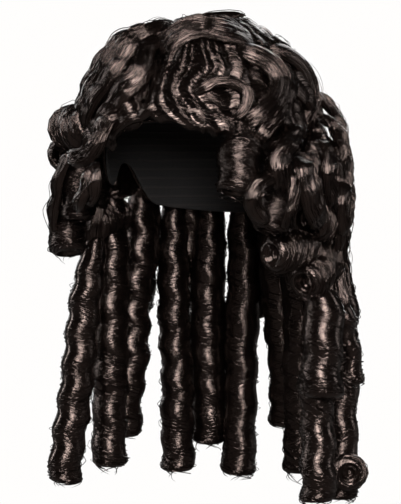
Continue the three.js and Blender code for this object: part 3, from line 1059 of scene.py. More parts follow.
# Locks swept from the part to each side. The edges between them are degrees up from the head's
# widest level, at the part and a quarter turn away.
leftSweep = {
    "edges": [(17, -3), (28, 5), (39.5, 19), (51, 33), (62.5, 48), (74, 66)],
    "az": [(-6.5, 70), (-5.5, 84), (-5, 97), (-6, 100), (-8, 99)],
    "rise": [0.3, 0.7, 0.9, 0.9, 0.5],
    "crest": 0.0018,
    "sway": 1.0,
    "ends": (0.020, 0.024),
    "squareness": (0.16, 0.16),
    "hemSquareness": (0.62, 0.16),
}
rightSweep = {
    "edges": [(16, -12), (27.5, 4), (39, 19), (50.5, 34), (62.5, 49), (74, 66)],
    "az": [(-6, -56), (-6.5, -74), (-7.5, -88), (-8.5, -92), (-11, -91)],
    "rise": [0.1, 0.1, 0.1, 0.1, 0.1],
    "centre": (-6, 48),
    "squash": 0.5,
    "ringReach": 0.03,
    "pitch": 0.030,
    "crest": 0.0028,
    "zigzag": 0.006,
    "zigzagPeriod": 0.05,
    "sway": 1.8,
    "ends": (0.018, 0.020),
    "squareness": (0.22, 0.22),
    "hemSquareness": (0.62, 0.22),
}
metresPerDegree = 0.00185

# The crests of the waves left of the part: degrees round the head for each line of crests, at
# the degrees up the head that the first row gives. Past the last line they repeat evenly.
crestLines = {
    "lat": [11, 14, 18, 22, 26, 30, 34, 39, 44],
    "az": [
        [20, 13, 7, 3, 3, 4, 5, 4, 4],
        [25, 19, 15, 12, 9, 9, 9, 11, 13],
        [30, 26, 24, 21, 18, 20, 26, 26, 24],
        [38, 36, 33, 29, 26, 31, 35, 34, 32],
        [44, 43, 43, 47, 46, 43, 45, 45, 44],
    ],
    "spacing": 10,
    "strength": (0.3, 1.6),
    "calmAbove": 50,
    "calmOver": 10,
    "calming": 0.55,
}


# A soft zigzag from -1 to 1, once over each unit
def zigzag(u):
    return np.sin(2 * np.pi * u) + 0.08 * np.sin(6 * np.pi * u)


# A smooth curve through values at rising places
def smoothly(x, places, values):
    places, values = np.array(places, float), np.array(values, float)
    slopes = np.gradient(values, places)
    i = np.clip(np.searchsorted(places, x) - 1, 0, len(places) - 2)
    step = places[i + 1] - places[i]
    s = np.clip((x - places[i]) / step, 0, 1)
    near = (1 + 2 * s) * (1 - s) ** 2 * values[i] + s * (1 - s) ** 2 * step * slopes[i]
    return near + s * s * (3 - 2 * s) * values[i + 1] - s * s * (1 - s) * step * slopes[i + 1]


# How far a place is along the rows of crests, and how wide the wave there is
def crestField(az, lat):
    lines = [smoothly(lat, crestLines["lat"], line) for line in crestLines["az"]]
    spacing = crestLines["spacing"]
    before = np.minimum(0, az - lines[0]) / spacing
    beyond = np.maximum(0, az - lines[-1]) / spacing
    count = before + beyond
    strength = np.ones_like(count)
    for left, right in zip(lines, lines[1:]):
        width = np.maximum(right - left, 1)
        share = np.clip((az - left) / width, 0, 1)
        count = count + share
        own = np.clip(width / spacing, *crestLines["strength"])
        strength = np.where((share > 0) & (share < 1), own, strength)
    calm = np.clip((lat - crestLines["calmAbove"]) / crestLines["calmOver"], 0, 1)
    return 2 * np.pi * (count + 0.5), strength * (1 - crestLines["calming"] * calm)


# The waves run in rings round a point near the part, and further out in zigzag bands
def ringField(sweep, az, lat):
    x = (az - sweep["centre"][0]) * metresPerDegree * np.cos(np.radians(np.clip(lat, -60, 60)))
    y = (lat - sweep["centre"][1]) * metresPerDegree
    ring = np.hypot(x, sweep["squash"] * y)
    far = np.clip(ring / sweep["ringReach"] - 0.3, 0, 1)
    band = ring + far * sweep["zigzag"] * zigzag(y / sweep["zigzagPeriod"] + 0.15)
    return 2 * np.pi * band / sweep["pitch"], np.ones_like(band)


def sweepField(sweep, az, lat):
    return ringField(sweep, az, lat) if "centre" in sweep else crestField(az, lat)


# Broad crests and narrow valleys. The crests keep their height where the waves are stronger.
crestShape = {"top": 0.6, "drop": 1.5, "soft": 0.02, "breadth": 0.34}


def waveHeight(phase, strength=1.0):
    crest = (np.sin(phase / 2) ** 2 + crestShape["soft"]) ** crestShape["breadth"]
    return crestShape["top"] - strength * crestShape["drop"] * (1 - crest)


def sweepLocks(prefix, sweep):
    for number, (az, rise) in enumerate(zip(sweep["az"], sweep["rise"]), 1):
        low, high = sweep["edges"][number - 1], sweep["edges"][number]

        def angles(t, across):
            around = mix(az, t)
            lat = mix((mix(low, np.abs(around) / 90), mix(high, np.abs(around) / 90)), (across + 1) / 2)
            return around, lat

        def place(t, across, height):
            around, lat = angles(t, across)
            phase, strength = sweepField(sweep, around, lat)
            return onHead(around, lat + sweep["sway"] * strength * np.sin(phase), lockLift + height)

        def wave(t, across, ragged):
            phase, strength = sweepField(sweep, *angles(t, across))
            return sweep["crest"] * waveHeight(phase + ragged, strength)

        squareness = sweep["hemSquareness"] if number == 1 else sweep["squareness"]
        lyingLock(f"{prefix}_{number}", place, wave, rise, sweep["ends"], squareness)


sweepLocks("front_wave_left", leftSweep)
sweepLocks("front_wave_right", rightSweep)
print("front locks swept")

# Locks coiled round the crown, and broad locks from it down the back
crownLocks = {
    "az": [(92, -84), (110, 257)],
    "lat": [(75, 85), (71, 85)],
    "rise": -0.3,
    "crest": 0.0018,
    "waves": 3,
    "ends": (0.014, 0.014),
}


def makeCrown(look):
    for number, (az, lat) in enumerate(zip(look["az"], look["lat"]), 1):

        def place(t, across, height):
            return onHead(mix(az, t), mix(lat, (across + 1) / 2), lockLift + height)

        def wave(t, across, ragged):
            turn = 2 * np.pi * (t * look["waves"] + 0.2 * across)
            return look["crest"] * waveHeight(turn + ragged)

        lyingLock(f"crown_wave_{number}", place, wave, look["rise"], look["ends"])


makeCrown(crownLocks)

backLook = {"pitch": 0.025, "crest": 0.0027, "sway": 1.6, "zigzag": 0.0055, "ends": (0.016, 0.020)}


def makeBack(look):
    width = (backLocks["az"][1] - backLocks["az"][0]) / backLocks["count"]
    for number in range(backLocks["count"]):
        start = backLocks["az"][0] + number * width

        def phase(t, around):
            down = (backLocks["lat"][0] - mix(backLocks["lat"], t)) * metresPerDegree
            return 2 * np.pi * (down + look["zigzag"] * zigzag(around / (2.3 * width))) / look["pitch"]

        def place(t, across, height):
            around = start + width * (across + 1) / 2
            swayed = around + look["sway"] * np.sin(phase(t, around)) * np.minimum(1, 4 * t)
            return onHead(swayed, mix(backLocks["lat"], t), lockLift + height)

        def wave(t, across, ragged):
            return look["crest"] * waveHeight(phase(t, start + width * (across + 1) / 2) + ragged)

        lyingLock(f"back_wave_{number + 1}", place, wave, backLocks["rise"], look["ends"])


makeBack(backLook)
print("crown and back locks laid")

# Loose locks that lie over the swept ones or hang over the side curls
looseLook = {
    "rowStep": {"lying": 0.0016, "free": 0.0021},
    "topColumns": 26,
    "underColumns": 4,
    "sunk": 0.0018,
    "rootReach": 0.016,
    "tipReach": 0.030,
    "endWidth": 0.25,
    "endThickness": 0.3,
    "widthVaries": 0.10,
    "poleLift": 0.0006,
    "square": 0.75,
    "under": 0.12,
    "slant": {"lying": 0.7, "free": 1.5},
    "ragged": {"lying": 0.6, "free": 0.75},
    "strands": {
        "steps": 13,
        "perArea": 13500,
        "reach": (0.030, 0.055),
        "across": 0.98,
        "drift": 0.25,
        "lift": (-0.0002, 0.0004),
        "stray": 0.005,
        "rarity": 9,
        "sunk": 0.0010,
        "thick": (0.6, 1.25),
    },
}
# A lock's route is in degrees round and up the head and millimetres above it, or above the swept
# locks under a lying one. One that is beside the head has millimetres below the origin in place
# of degrees up. Then come millimetres wide, thick and from wave to wave, and the waves' height.
# Square is how flat its back is, where low is flat, and under how far its underside bulges.
millimetre = 0.001
looseLocks = {
    "loose_front_locks_left": [
        {"wide": 20, "thick": 9, "route": [
            (45, 44, -4), (49, 42, 0), (54, 39, 2), (60, 35, 3), (63, 29, 3.5), (61, 23, 3.5),
            (56, 18, 3), (50, 15, 2), (44, 13, 0),
        ]},
        {"wide": 26, "thick": 6, "pitch": 30, "crest": 0.8, "square": 0.4, "route": [
            (-5, 44, -4), (0, 47, 0), (6, 51, 2), (15, 54, 3), (26, 55, 3.5), (35, 53, 3.5),
            (43, 51, 3), (52, 49, 2), (61, 47, -1),
        ]},
        {"wide": 12, "thick": 5, "route": [
            (4, 60, -3), (16, 64, 1), (30, 65, 2), (44, 65, 3), (56, 64, 5), (66, 62, 8),
        ]},
        {"wide": 17, "thick": 8, "route": [
            (68, 45, -4), (76, 41, 0), (84, 36, 1), (89, 30, 1), (90, 23, 1), (87, 16, 1),
            (82, 10, -2),
        ]},
        {"wide": 14, "thick": 7, "pitch": 23, "crest": 1.6, "route": [
            (76, 31, -4), (70, 26, 1), (63, 19, 3), (57, 13, 4), (51, 8, 4), (47, 2, 2),
        ]},
        {"wide": 12, "thick": 6, "pitch": 20, "crest": 1.2, "route": [
            (80, 15, -4), (73, 12, 1), (67, 8, 3), (61, 4, 3), (57, -2, 1),
        ]},
        {"wide": 17, "thick": 8, "pitch": 26, "crest": 1.8, "route": [
            (96, 48, -5), (100, 40, 0), (99, 31, 1), (96, 22, 2), (95, 13, 2), (97, 5, 0),
        ]},
        {"wide": 11, "thick": 6, "route": [
            (20, 24, -4), (26, 26, 1), (31, 28, 2), (36, 28, 3), (41, 27, 3.5), (45, 24, 3.5),
            (45, 20, 3), (42, 16, 2), (38, 14, 0),
        ]},
    ],
    "loose_front_locks_right": [
        {"wide": 18, "thick": 8, "pitch": 20, "crest": 1.8, "route": [
            (-1, 64, -4), (-4, 59, 1), (-6, 52, 3), (-11, 46, 4), (-10, 39, 4), (-10, 32, 4),
            (-15, 27, 4), (-20, 21, 3), (-26, 15, 0),
        ]},
        {"wide": 15, "thick": 7, "pitch": 18, "crest": 2.3, "route": [
            (-5, 42, -4), (-7, 36, 0), (-9, 30, 2), (-14, 24, 3), (-21, 18, 3), (-29, 13, 2),
            (-38, 9, 0),
        ]},
        {"wide": 20, "thick": 9, "pitch": 22, "crest": 2.0, "route": [
            (-15, 64, -4), (-20, 57, 1), (-29, 50, 4), (-35, 42, 5), (-38, 34, 5), (-44, 27, 4),
            (-52, 20, 3), (-59, 11, 0),
        ]},
        {"wide": 20, "thick": 9, "pitch": 20, "crest": 2.0, "route": [
            (-9, 64, -4), (-13, 59, 2), (-20, 50, 4), (-25, 42, 5), (-27, 34, 5), (-32, 27, 4),
            (-39, 20, 3), (-46, 11, 0),
        ]},
        {"wide": 18, "thick": 8, "pitch": 19, "crest": 2.5, "route": [
            (-30, 62, -4), (-40, 55, 3), (-50, 46, 5), (-56, 37, 5), (-58, 28, 4), (-66, 19, 2),
        ]},
        {"wide": 11, "thick": 6, "pitch": 15, "crest": 1.4, "route": [
            (5, 22, -4), (0, 19, 0), (-5, 17, 1), (-11, 15, 1), (-18, 12, 1), (-25, 8, 1),
            (-31, 3, 0),
        ]},
    ],
    "loose_side_locks": [
        {"wide": 15, "thick": 8, "pitch": 24, "crest": 1.6, "route": [
            (68, 11, 30), (61, 6, 42), (55, 2, 46), (52, -2, 47), (54, -6, 46), (58, -10, 40),
        ]},
        {"wide": 15, "thick": 8, "pitch": 22, "crest": 1.6, "route": [
            (56, -2, 34), (50, -5, 43), (45, -7, 46), (43, -10, 46), (46, -14, 45), (53, -16, 38),
        ]},
        {"wide": 8, "thick": 5, "pitch": 15, "crest": 0.7, "route": [
            (60, -1, 40), (59, -6, 49), (57, -10, 52), (56, -14, 52), (57, -18, 47),
        ]},
        {"wide": 22, "thick": 9, "pitch": 17, "crest": 1.2, "route": [
            (65, 0, 38), (64, -4, 48), (65, -8, 52), (68, -12, 52), (73, -15, 47), (80, -16, 38),
        ]},
        {"wide": 14, "thick": 7, "pitch": 22, "crest": 1.5, "route": [
            (80, 6, 36), (78, 1, 46), (76, -4, 50), (79, -9, 49), (85, -13, 44), (92, -16, 36),
        ]},
        {"wide": 12, "thick": 6, "pitch": 24, "crest": 1.2, "route": [
            (92, -6, 40), (90, -13, 48), (90, -18, 51), (93, -24, 50), (96, -30, 44),
        ]},
        {"wide": 17, "thick": 8, "pitch": 24, "crest": 1.8, "route": [
            (-11, 23, 14), (-15, 19, 21), (-21, 15, 25), (-23, 10, 28), (-24, 5, 30), (-27, 2, 33),
            (-33, 0, 37), (-41, 1, 40),
        ]},
        {"wide": 16, "thick": 8, "pitch": 26, "crest": 1.2, "beside": True, "route": [
            (-55, 94, 20), (-59, 114, 27), (-63, 134, 30), (-68, 154, 33), (-70, 172, 28),
        ]},
        {"wide": 13, "thick": 7, "pitch": 22, "crest": 1.4, "route": [
            (-28, -2, 30), (-28, -7, 36), (-31, -11, 40), (-37, -14, 40),
        ]},
        {"wide": 14, "thick": 7, "pitch": 22, "crest": 1.4, "route": [
            (-27, -1, 28), (-25, -5, 31), (-26, -9, 33), (-31, -13, 34),
        ]},
        {"wide": 20, "thick": 8, "pitch": 30, "crest": 1.6, "beside": True, "under": 0.9, "route": [
            (92, 118, 0), (90, 146, 9), (87, 176, 19), (84, 206, 25), (84, 226, 25),
        ]},
        {"wide": 17, "thick": 7, "pitch": 28, "crest": 1.4, "beside": True, "under": 0.9, "route": [
            (99, 130, -2), (96, 170, 3), (92, 212, 9), (89, 250, 14), (88, 276, 15),
        ]},
        {"wide": 19, "thick": 8, "pitch": 30, "crest": 1.6, "beside": True, "under": 0.9, "route": [
            (106, 104, 4), (108, 132, 15), (110, 162, 24), (111, 192, 27), (111, 214, 28),
        ]},
        {"wide": 14, "thick": 6, "pitch": 26, "crest": 1.2, "beside": True, "under": 0.9, "route": [
            (101, 122, 4), (99, 156, 17), (97, 192, 28), (95, 222, 34), (96, 240, 35),
        ]},
        {"wide": 18, "thick": 8, "pitch": 28, "crest": 1.4, "beside": True, "under": 0.9, "route": [
            (-93, 108, 2), (-91, 130, 8), (-89, 154, 12), (-89, 176, 14), (-88, 192, 15),
        ]},
        {"wide": 24, "thick": 10, "pitch": 18, "crest": 1.2, "beside": True, "under": 0.9, "route": [
            (112, 100, 2), (114, 116, 12), (113, 132, 21), (108, 143, 24), (100, 145, 23),
            (94, 146, 22),
        ]},
        {"wide": 22, "thick": 9, "pitch": 18, "crest": 1.2, "beside": True, "under": 0.9, "route": [
            (108, 120, 2), (109, 142, 12), (107, 164, 19), (101, 178, 20), (95, 184, 20),
        ]},
        {"wide": 16, "thick": 8, "pitch": 26, "crest": 1.4, "beside": True, "under": 0.5, "route": [
            (84, 88, 8), (90, 100, 24), (92, 118, 32), (88, 136, 36), (90, 154, 34), (95, 168, 26),
        ]},
        {"wide": 16, "thick": 8, "pitch": 26, "crest": 1.4, "beside": True, "under": 0.5, "route": [
            (100, 80, 10), (104, 98, 22), (102, 118, 30), (105, 138, 32), (103, 158, 28),
        ]},
        {"wide": 17, "thick": 8, "pitch": 26, "crest": 1.4, "beside": True, "under": 0.5, "route": [
            (-70, 70, 8), (-78, 82, 22), (-84, 98, 30), (-82, 118, 34), (-86, 138, 32),
            (-90, 156, 26),
        ]},
        {"wide": 17, "thick": 8, "pitch": 26, "crest": 1.4, "beside": True, "under": 0.5, "route": [
            (-98, 78, 8), (-102, 96, 20), (-100, 116, 28), (-104, 136, 28), (-101, 156, 24),
        ]},
    ],
}


# How high the swept locks stand at a place on the head
def sweptHeight(az, lat):
    around = abs(az) / 90
    sweep = leftSweep if az > -6.5 else rightSweep
    edges = [mix(edge, around) for edge in sweep["edges"]]
    middles = [(low + high) / 2 for low, high in zip(edges, edges[1:])]
    heights = []
    for ends, rise in zip(sweep["az"], sweep["rise"]):
        t = min(1, max(0, (az - ends[0]) / (ends[1] - ends[0])))
        ended = 0.55 + 0.45 * float(rounded(t, 0.14)) if t < 0.5 else float(rounded(1 - t, 0.17))
        heights.append(waveLook["depth"] * (1 + rise * t) * ended)
    full = float(np.interp(lat, middles, heights))
    hem = min(1, max(0, (lat - edges[0]) / (middles[0] - edges[0])))
    return full * (1 - (1 - hem) ** 2) ** 0.35


# The course of a loose lock: places along it, its middle, the ways across it and out of it, how
# full it is, half its width and its thickness at each place, and where its waves start
def looseCourse(rng, row, kind, look):
    route = np.array(row["route"], float)
    onSurface = besideHead if row.get("beside") else onHead
    if row.get("beside"):
        route = route * (1, millimetre, 1)
    spots = onSurface(route[:, 0], route[:, 1], route[:, 2] * millimetre + 0.01)
    places = np.concatenate([[0], np.cumsum(np.linalg.norm(np.diff(spots, axis=0), axis=1))])
    length = places[-1]
    s = np.linspace(0, length, int(length / look["rowStep"][kind]) + 2)
    az, lat, above = [smoothly(s, places, route[:, k]) for k in range(3)]
    base = np.zeros(len(s))
    if kind == "lying":
        base = lockLift - look["sunk"] + np.array([sweptHeight(a, b) for a, b in zip(az, lat)])
    for _ in range(3):
        base[1:-1] = (base[:-2] + base[1:-1] + base[2:]) / 3
    lift = base + above * millimetre
    centre = onSurface(az, lat, lift)
    normal = unit(onSurface(az, lat, lift + 0.001) - centre)
    along = unit(np.gradient(centre, axis=0))
    side = unit(np.cross(normal, along))
    share = s / length
    root, tip = look["rootReach"] / length, look["tipReach"] / length
    full = np.minimum(rounded(share, root), rounded(1 - share, tip))
    slim = mix((look["endWidth"], 1), full) * (1 + look["widthVaries"] * wander(rng, share))
    return {
        "s": s,
        "centre": centre,
        "side": side,
        "normal": np.cross(along, side),
        "full": full,
        "halfWidth": row["wide"] * millimetre / 2 * slim,
        "thick": row["thick"] * millimetre * mix((look["endThickness"], 1), full),
        "phase": rng.uniform(0, 2 * np.pi),
    }


# Lying locks have crests and valleys as the swept ones do, and free ones softer waves
def looseWave(row, kind, look, phase, s, across, ragged):
    if "pitch" not in row:
        return 0 * (s + across)
    turn = 2 * np.pi * s / (row["pitch"] * millimetre) + look["slant"][kind] * across + phase + ragged
    return row["crest"] * millimetre * (waveHeight(turn) if kind == "lying" else np.sin(turn))


def looseBody(rng, row, kind, look, course):
    s, full, halfWidth = course["s"], course["full"], course["halfWidth"]
    angle = np.linspace(0, np.pi, look["topColumns"])
    across = np.concatenate([-np.cos(angle), np.linspace(1, -1, look["underColumns"] + 2)[1:-1]])
    under = np.cos(np.linspace(-1.1, 1.1, look["underColumns"])) * -row.get("under", look["under"])
    height = np.concatenate([np.sin(angle) ** row.get("square", look["square"]), under])
    onTop = np.concatenate([np.sin(angle) ** 0.4, np.zeros(look["underColumns"])])
    meanWidth = halfWidth.mean()
    acrossHere = across[None, :] * meanWidth + 0.1
    fray = strandNoise(rng, acrossHere, s[:, None], waveLook["raggedWidth"], waveLook["raggedLength"])
    ragged = look["ragged"][kind] * fray
    wave = looseWave(row, kind, look, course["phase"], s[:, None], across[None, :], ragged)
    tall = (course["thick"][:, None] + wave * onTop[None, :]) * full[:, None] ** 0.5
    wide = halfWidth[:, None] * across[None, :]
    grid = course["centre"][:, None] + course["side"][:, None] * wide[..., None]
    grid = grid + course["normal"][:, None] * (tall * height[None, :])[..., None]
    strand = np.zeros(grid.shape)
    sideStep = np.hypot(np.diff(across), np.diff(height))
    strand[..., 0] = np.concatenate([[0], np.cumsum(sideStep)]) * meanWidth
    strand[..., 1] = rng.uniform(0, 0.3)
    strand[..., 2] = s[:, None]
    relief = full[:, None] ** 0.5 * onTop[None, :]
    poles = course["centre"][[0, -1]] + course["normal"][[0, -1]] * look["poleLift"]
    return grid[1:-1], strand[1:-1], relief[1:-1], poles


def looseStrands(rng, row, kind, look, course):
    s = course["s"]
    length = s[-1]
    strands = look["strands"]
    count = int(strands["perArea"] * length * row["wide"] * millimetre)
    u = np.linspace(0, 1, strands["steps"])[None, :]
    reach = rng.uniform(*strands["reach"], (count, 1))
    start = rng.uniform(0, max(0.001, length - 0.02), (count, 1))
    spot = np.minimum(start + reach * u, length)
    across = np.clip(strandAcross(rng, count, u, strands), -1, 1)
    lift, wild = strandLift(rng, count, u, strands)
    rise = (1 - across ** 2) ** (row.get("square", look["square"]) / 2)
    ragged = rng.uniform(-1, 1, (count, 1)) * look["ragged"][kind]
    centre, side, normal = [vectorsAt(spot, s, course[part]) for part in ("centre", "side", "normal")]
    sizes = [np.interp(spot, s, course[part]) for part in ("halfWidth", "thick", "full")]
    halfWidth, thick, full = sizes
    wave = looseWave(row, kind, look, course["phase"], spot, across, ragged)
    tall = (thick + wave * rise) * full ** 0.5 * rise + lift
    points = centre + side * (halfWidth * across)[..., None] + normal * tall[..., None]
    width = strandThickness(rng, count, strands["steps"], wild, strands)
    keepStrands("front_strands", rng, points, width)


def makeLooseLocks(look):
    for piece, rows in looseLocks.items():
        kind = "free" if piece == "loose_side_locks" else "lying"
        bodies = []
        for number, row in enumerate(rows, 1):
            rng = seededFor(f"{piece}_{number}")
            course = looseCourse(rng, row, kind, look)
            bodies.append(looseBody(rng, row, kind, look, course))
            looseStrands(rng, row, kind, look, course)
        locksPiece(piece, bodies)


makeLooseLocks(looseLook)
print("loose locks laid over")

# Flat waved locks that fall free at the sides, each a few flat tresses side by side
fallLook = {
    "halfWidth": 0.012,
    "halfDepth": 0.007,
    "tresses": 6,
    "pitch": 0.030,
    "swing": 0.0020,
    "wander": 0.0012,
    "tuck": 0.018,  # how far the root is moved in under the locks above
    "tuckOver": 0.15,
    "narrowing": 0.55,
    "tressWidth": 0.30,
    "tressDepth": 0.50,
    "starts": (0, 0.12),
    "stops": (0.78, 1),
    "rootReach": 0.020,
    "tipReach": 0.045,
    "columns": 12,
    "rowStep": 0.0024,
    "strands": 70,
}
falls = {
    "fall_left_1": {"az": (112, 111), "down": (0.37, 2), "out": (1.5, 1.8), "wide": 0.9},
    "fall_left_2": {"az": (96, 103), "down": (0.62, 1.6), "out": (1.5, 2.1), "wide": 1},
    "fall_left_3": {"az": (74, 80), "down": (0.93, 1.62), "out": (0.9, 1.5), "wide": 1.2},
}


# One tress of a fall, or a strand of it: where it lies across the fall, and how it is waved
def fallCourse(row, look, t, offset, phase, rng):
    down = mix(row["down"], t) * head["crownRise"]
    tuck = look["tuck"] * np.clip(1 - t / look["tuckOver"], 0, 1) ** 2
    out = mix(row["out"], np.sqrt(np.maximum(t, 0))) * curlRadius - tuck
    route = besideHead(mix(row["az"], t), down, out)
    side, outward = framesAlong(route)[1:]
    length = np.linalg.norm(np.diff(route, axis=0), axis=1).sum()
    swing = 2 * np.pi * length * t / look["pitch"] + phase
    spread = 1 - look["narrowing"] * np.abs(2 * t - 0.9) ** 3
    sideways = offset[0] * look["halfWidth"] * row["wide"] * spread
    sideways = sideways + 1.1 * look["swing"] * np.cos(swing)
    inout = offset[1] * look["halfDepth"] * spread + look["swing"] * np.sin(swing)
    inout = inout + look["wander"] * wander(rng, t)
    centre = route + side * sideways[:, None] + outward * inout[:, None]
    return centre, side, outward, length


def fallTress(row, look, t, number, rng):
    offset = (-0.8 + 1.6 * number / (look["tresses"] - 1), rng.uniform(-0.6, 0.6))
    ends = (rng.uniform(*look["starts"]), rng.uniform(*look["stops"]))
    centre, side, outward, length = fallCourse(row, look, t, offset, 0.9 * number, rng)
    last = len(t) - 1
    keep = np.linspace(ends[0] * last, ends[1] * last, int(length / look["rowStep"])).astype(int)
    u = np.linspace(0, 1, len(keep))
    nearTip = rounded((1 - u) * length, look["tipReach"])
    full = np.minimum(rounded(u * length, look["rootReach"]), nearTip)
    angle = np.linspace(0, 2 * np.pi, look["columns"], endpoint=False)
    wide = look["tressWidth"] * look["halfWidth"] * row["wide"] * full[:, None] * np.cos(angle)[None]
    deep = look["tressDepth"] * look["halfDepth"] * full[:, None] * np.sin(angle)[None]
    grid = centre[keep][:, None] + side[keep][:, None] * wide[..., None]
    grid = grid + outward[keep][:, None] * deep[..., None]
    strand = np.zeros(grid.shape)
    strand[..., 0] = (angle * look["halfWidth"] * 0.45)[None] + 0.1 * number
    strand[..., 2] = (u * length)[:, None]
    relief = full[:, None] * np.minimum(1, np.abs(angle)[None] * 3)
    return grid[1:-1], strand[1:-1], relief[1:-1], centre[keep[[0, -1]]]


def makeFalls(look):
    t = np.linspace(0, 1, 200)
    steps = strandLook["loosePoints"]
    for name, row in falls.items():
        rng = seededFor(name)
        tresses = [fallTress(row, look, t, number, rng) for number in range(look["tresses"])]
        locksPiece(name, tresses, name)
        for _ in range(look["strands"]):
            offset = (rng.uniform(-1, 1), rng.uniform(-0.9, 0.9))
            u = np.linspace(rng.uniform(0, 0.35), rng.uniform(0.6, 1), steps)
            phase = 0.9 * (offset[0] + 0.72) / 1.44 * (look["tresses"] - 1) + rng.uniform(-0.4, 0.4)
            centre = fallCourse(row, look, t, offset, phase, rng)[0]
            thick = taper(steps)[None] * rng.uniform(0.6, 1.2)
            keepStrands("side_curl_strands", rng, vectorsAt(u, t, centre)[None], thick)


makeFalls(fallLook)
print("falls hung")

# The cap and the hair combed over it: shells from the crown down to the cap's edge. The edge
# seen from the side, in shares of the head's half depth and of its crown's rise, and the degrees
# up the head between which it is looked for in that many steps.
capEdge = {
    "search": (-65, 60, 900),
    "back": [-1.2, -0.97, -0.8, -0.5, -0.37, -0.16, 0, 0.22, 0.45, 1.3],
    "up": [0.335, 0.29, 0.2, 0.06, -0.2, -0.26, -0.04, -0.06, -0.42, -0.56],
}
shellLook = {"columns": 110, "outerRows": 26, "rimRows": 5, "innerRows": 12, "top": 89.3, "seed": 2.5}
# Above is how far a shell ends over the cap's edge, and thin its thickness there as a share
capShell = {"from": 0.0, "to": layers["cap"], "above": 0.0, "thin": 1.0, "bundleDepth": 0.0}
combedShell = {
    "from": combedLift,
    "to": combedLift + layers["combed"],
    "above": layers["gap"],
    "thin": 0.35,
    "bundleDepth": 0.0012,
}
meanRadius = 0.1


def edgeLat(az, lift, above):
    lats = np.linspace(*capEdge["search"])
    spots = onHead(az, lats, lift)
    up = np.interp(spots[:, 1] / head["halfDepth"], capEdge["back"], capEdge["up"])
    clear = spots[:, 2] - (up - 1) * head["crownRise"] - above
    below = np.nonzero(clear < 0)[0]
    return lats[below[-1]]


def makeShell(name, node, slot, shell, look):
    inner, outer = shell["from"], shell["to"]
    az = np.linspace(0, 360, look["columns"], endpoint=False)
    low = np.array([edgeLat(angle, outer, shell["above"]) for angle in az])
    low = (low + np.roll(low, 1) + np.roll(low, -1)) / 3
    share = np.linspace(0, 1, look["outerRows"]) ** 0.9
    nearEdge = np.clip((share - 0.8) / 0.2, 0, 1) ** 1.5
    thickness = (outer - inner) * (1 - (1 - shell["thin"]) * nearEdge)
    half = thickness[-1] / 2
    low = low + math.degrees(half / meanRadius)
    down = low - look["top"]
    rows = [onHead(az, look["top"] + down * s, inner + wall) for s, wall in zip(share, thickness)]
    for angle in np.linspace(0, np.pi, look["rimRows"] + 2)[1:-1]:
        drop = math.degrees(half / meanRadius) * math.sin(angle)
        rows.append(onHead(az, low - drop, inner + half + half * math.cos(angle)))
    back = np.linspace(1, 0, look["innerRows"])
    rows.extend(onHead(az, look["top"] + down * s, inner) for s in back)
    grid = np.array(rows)
    reach = np.concatenate([share, np.ones(look["rimRows"]), back])
    strand = np.zeros(grid.shape)
    strand[..., 0] = (az * metresPerDegree)[None, :]
    strand[..., 2] = (reach[:, None] * (look["top"] - low)[None, :]) * metresPerDegree
    onRim = np.linspace(1, 0, look["rimRows"])
    outside = np.concatenate([np.ones(len(share)), onRim, np.zeros(len(back))])
    relief = outside[:, None] * np.ones(len(az))[None, :] * np.clip(reach * 6, 0, 1)[:, None]
    poles = np.stack([onHead(0, 90, outer), onHead(0, 90, inner)])
    combedPiece(name, [(grid, strand, relief, poles)], slot, shell["bundleDepth"], look["seed"], node)


makeShell("cap_net", "cap", "cap_net", capShell, shellLook)
makeShell("combed_hair", "under_hair", "hair", combedShell, shellLook)
print("cap and combed hair made")

# The soft hairline: short strands from the cap's edge up and away from the part, which rise to
# the locks' level and sink in at their ends
hairline = {
    "count": 300,
    "steps": 10,
    "az": (-60, 66),
    "part": -6,
    "start": (0, 0.5),
    "up": (0.2, 2.0),
    "aside": (8, 24),
    "rootLift": 0.0006,
    "riseOver": 0.45,
    "lift": (0.0002, 0.0012),
    "sunk": 0.0014,
    "thick": (0.5, 1.0),
}


def makeHairline(look):
    rng = seededFor("hairline")
    count = look["count"]
    u = np.linspace(0, 1, look["steps"])[None, :]
    start = rng.uniform(*look["az"], (count, 1))
    away = np.where(start > look["part"], 1.0, -1.0)
    edge = np.array([edgeLat(value, combedLift, 0.0) for value in start[:, 0]])[:, None]
    up = rng.uniform(*look["up"], (count, 1))
    aside = rng.uniform(*look["aside"], (count, 1))
    az = start + away * aside * u ** 1.3
    lat = edge + rng.uniform(*look["start"], (count, 1)) + up * u ** 0.7
    base = np.array([[sweptHeight(a, b) for a, b in zip(*pair)] for pair in zip(az, lat)])
    onLock = lockLift + base + rng.uniform(*look["lift"], (count, 1))
    blend = np.minimum(1, u / look["riseOver"])
    blend = blend * blend * (3 - 2 * blend)
    lift = (combedLift + look["rootLift"]) * (1 - blend) + onLock * blend
    lift = lift - look["sunk"] * np.clip((u - 0.8) / 0.2, 0, 1)
    thick = taper(look["steps"])[None, :] * rng.uniform(*look["thick"], (count, 1))
    keepStrands("front_strands", rng, onHead(az, lat, lift), thick)


makeHairline(hairline)
makeStrands(strandLook)
print("strands laid over the locks and curls")

# The stage: a pale floor, soft light and a camera at the photograph's angle
camera = {"azimuth": 22, "elevation": 3, "distance": 1.6, "metresPerPixel": 0.00085, "pixels": 504}
target = {"height": -0.178, "shift": -0.002}


def backVector(azimuth, elevation):
    a = math.radians(azimuth)
    e = math.radians(elevation)
    return Vector((math.sin(a) * math.cos(e), -math.cos(a) * math.cos(e), math.sin(e)))


# Puts a camera or a light at a distance from a point and turns it to look there
def placeLooking(name, data, aim, row):
    back = backVector(row["azimuth"], row["elevation"])
    made = newObject(name, data)
    made.location = aim + back * row["distance"]
    made.rotation_mode = "QUATERNION"
    made.rotation_quaternion = (-back).to_track_quat("-Z", "Y")
    return made


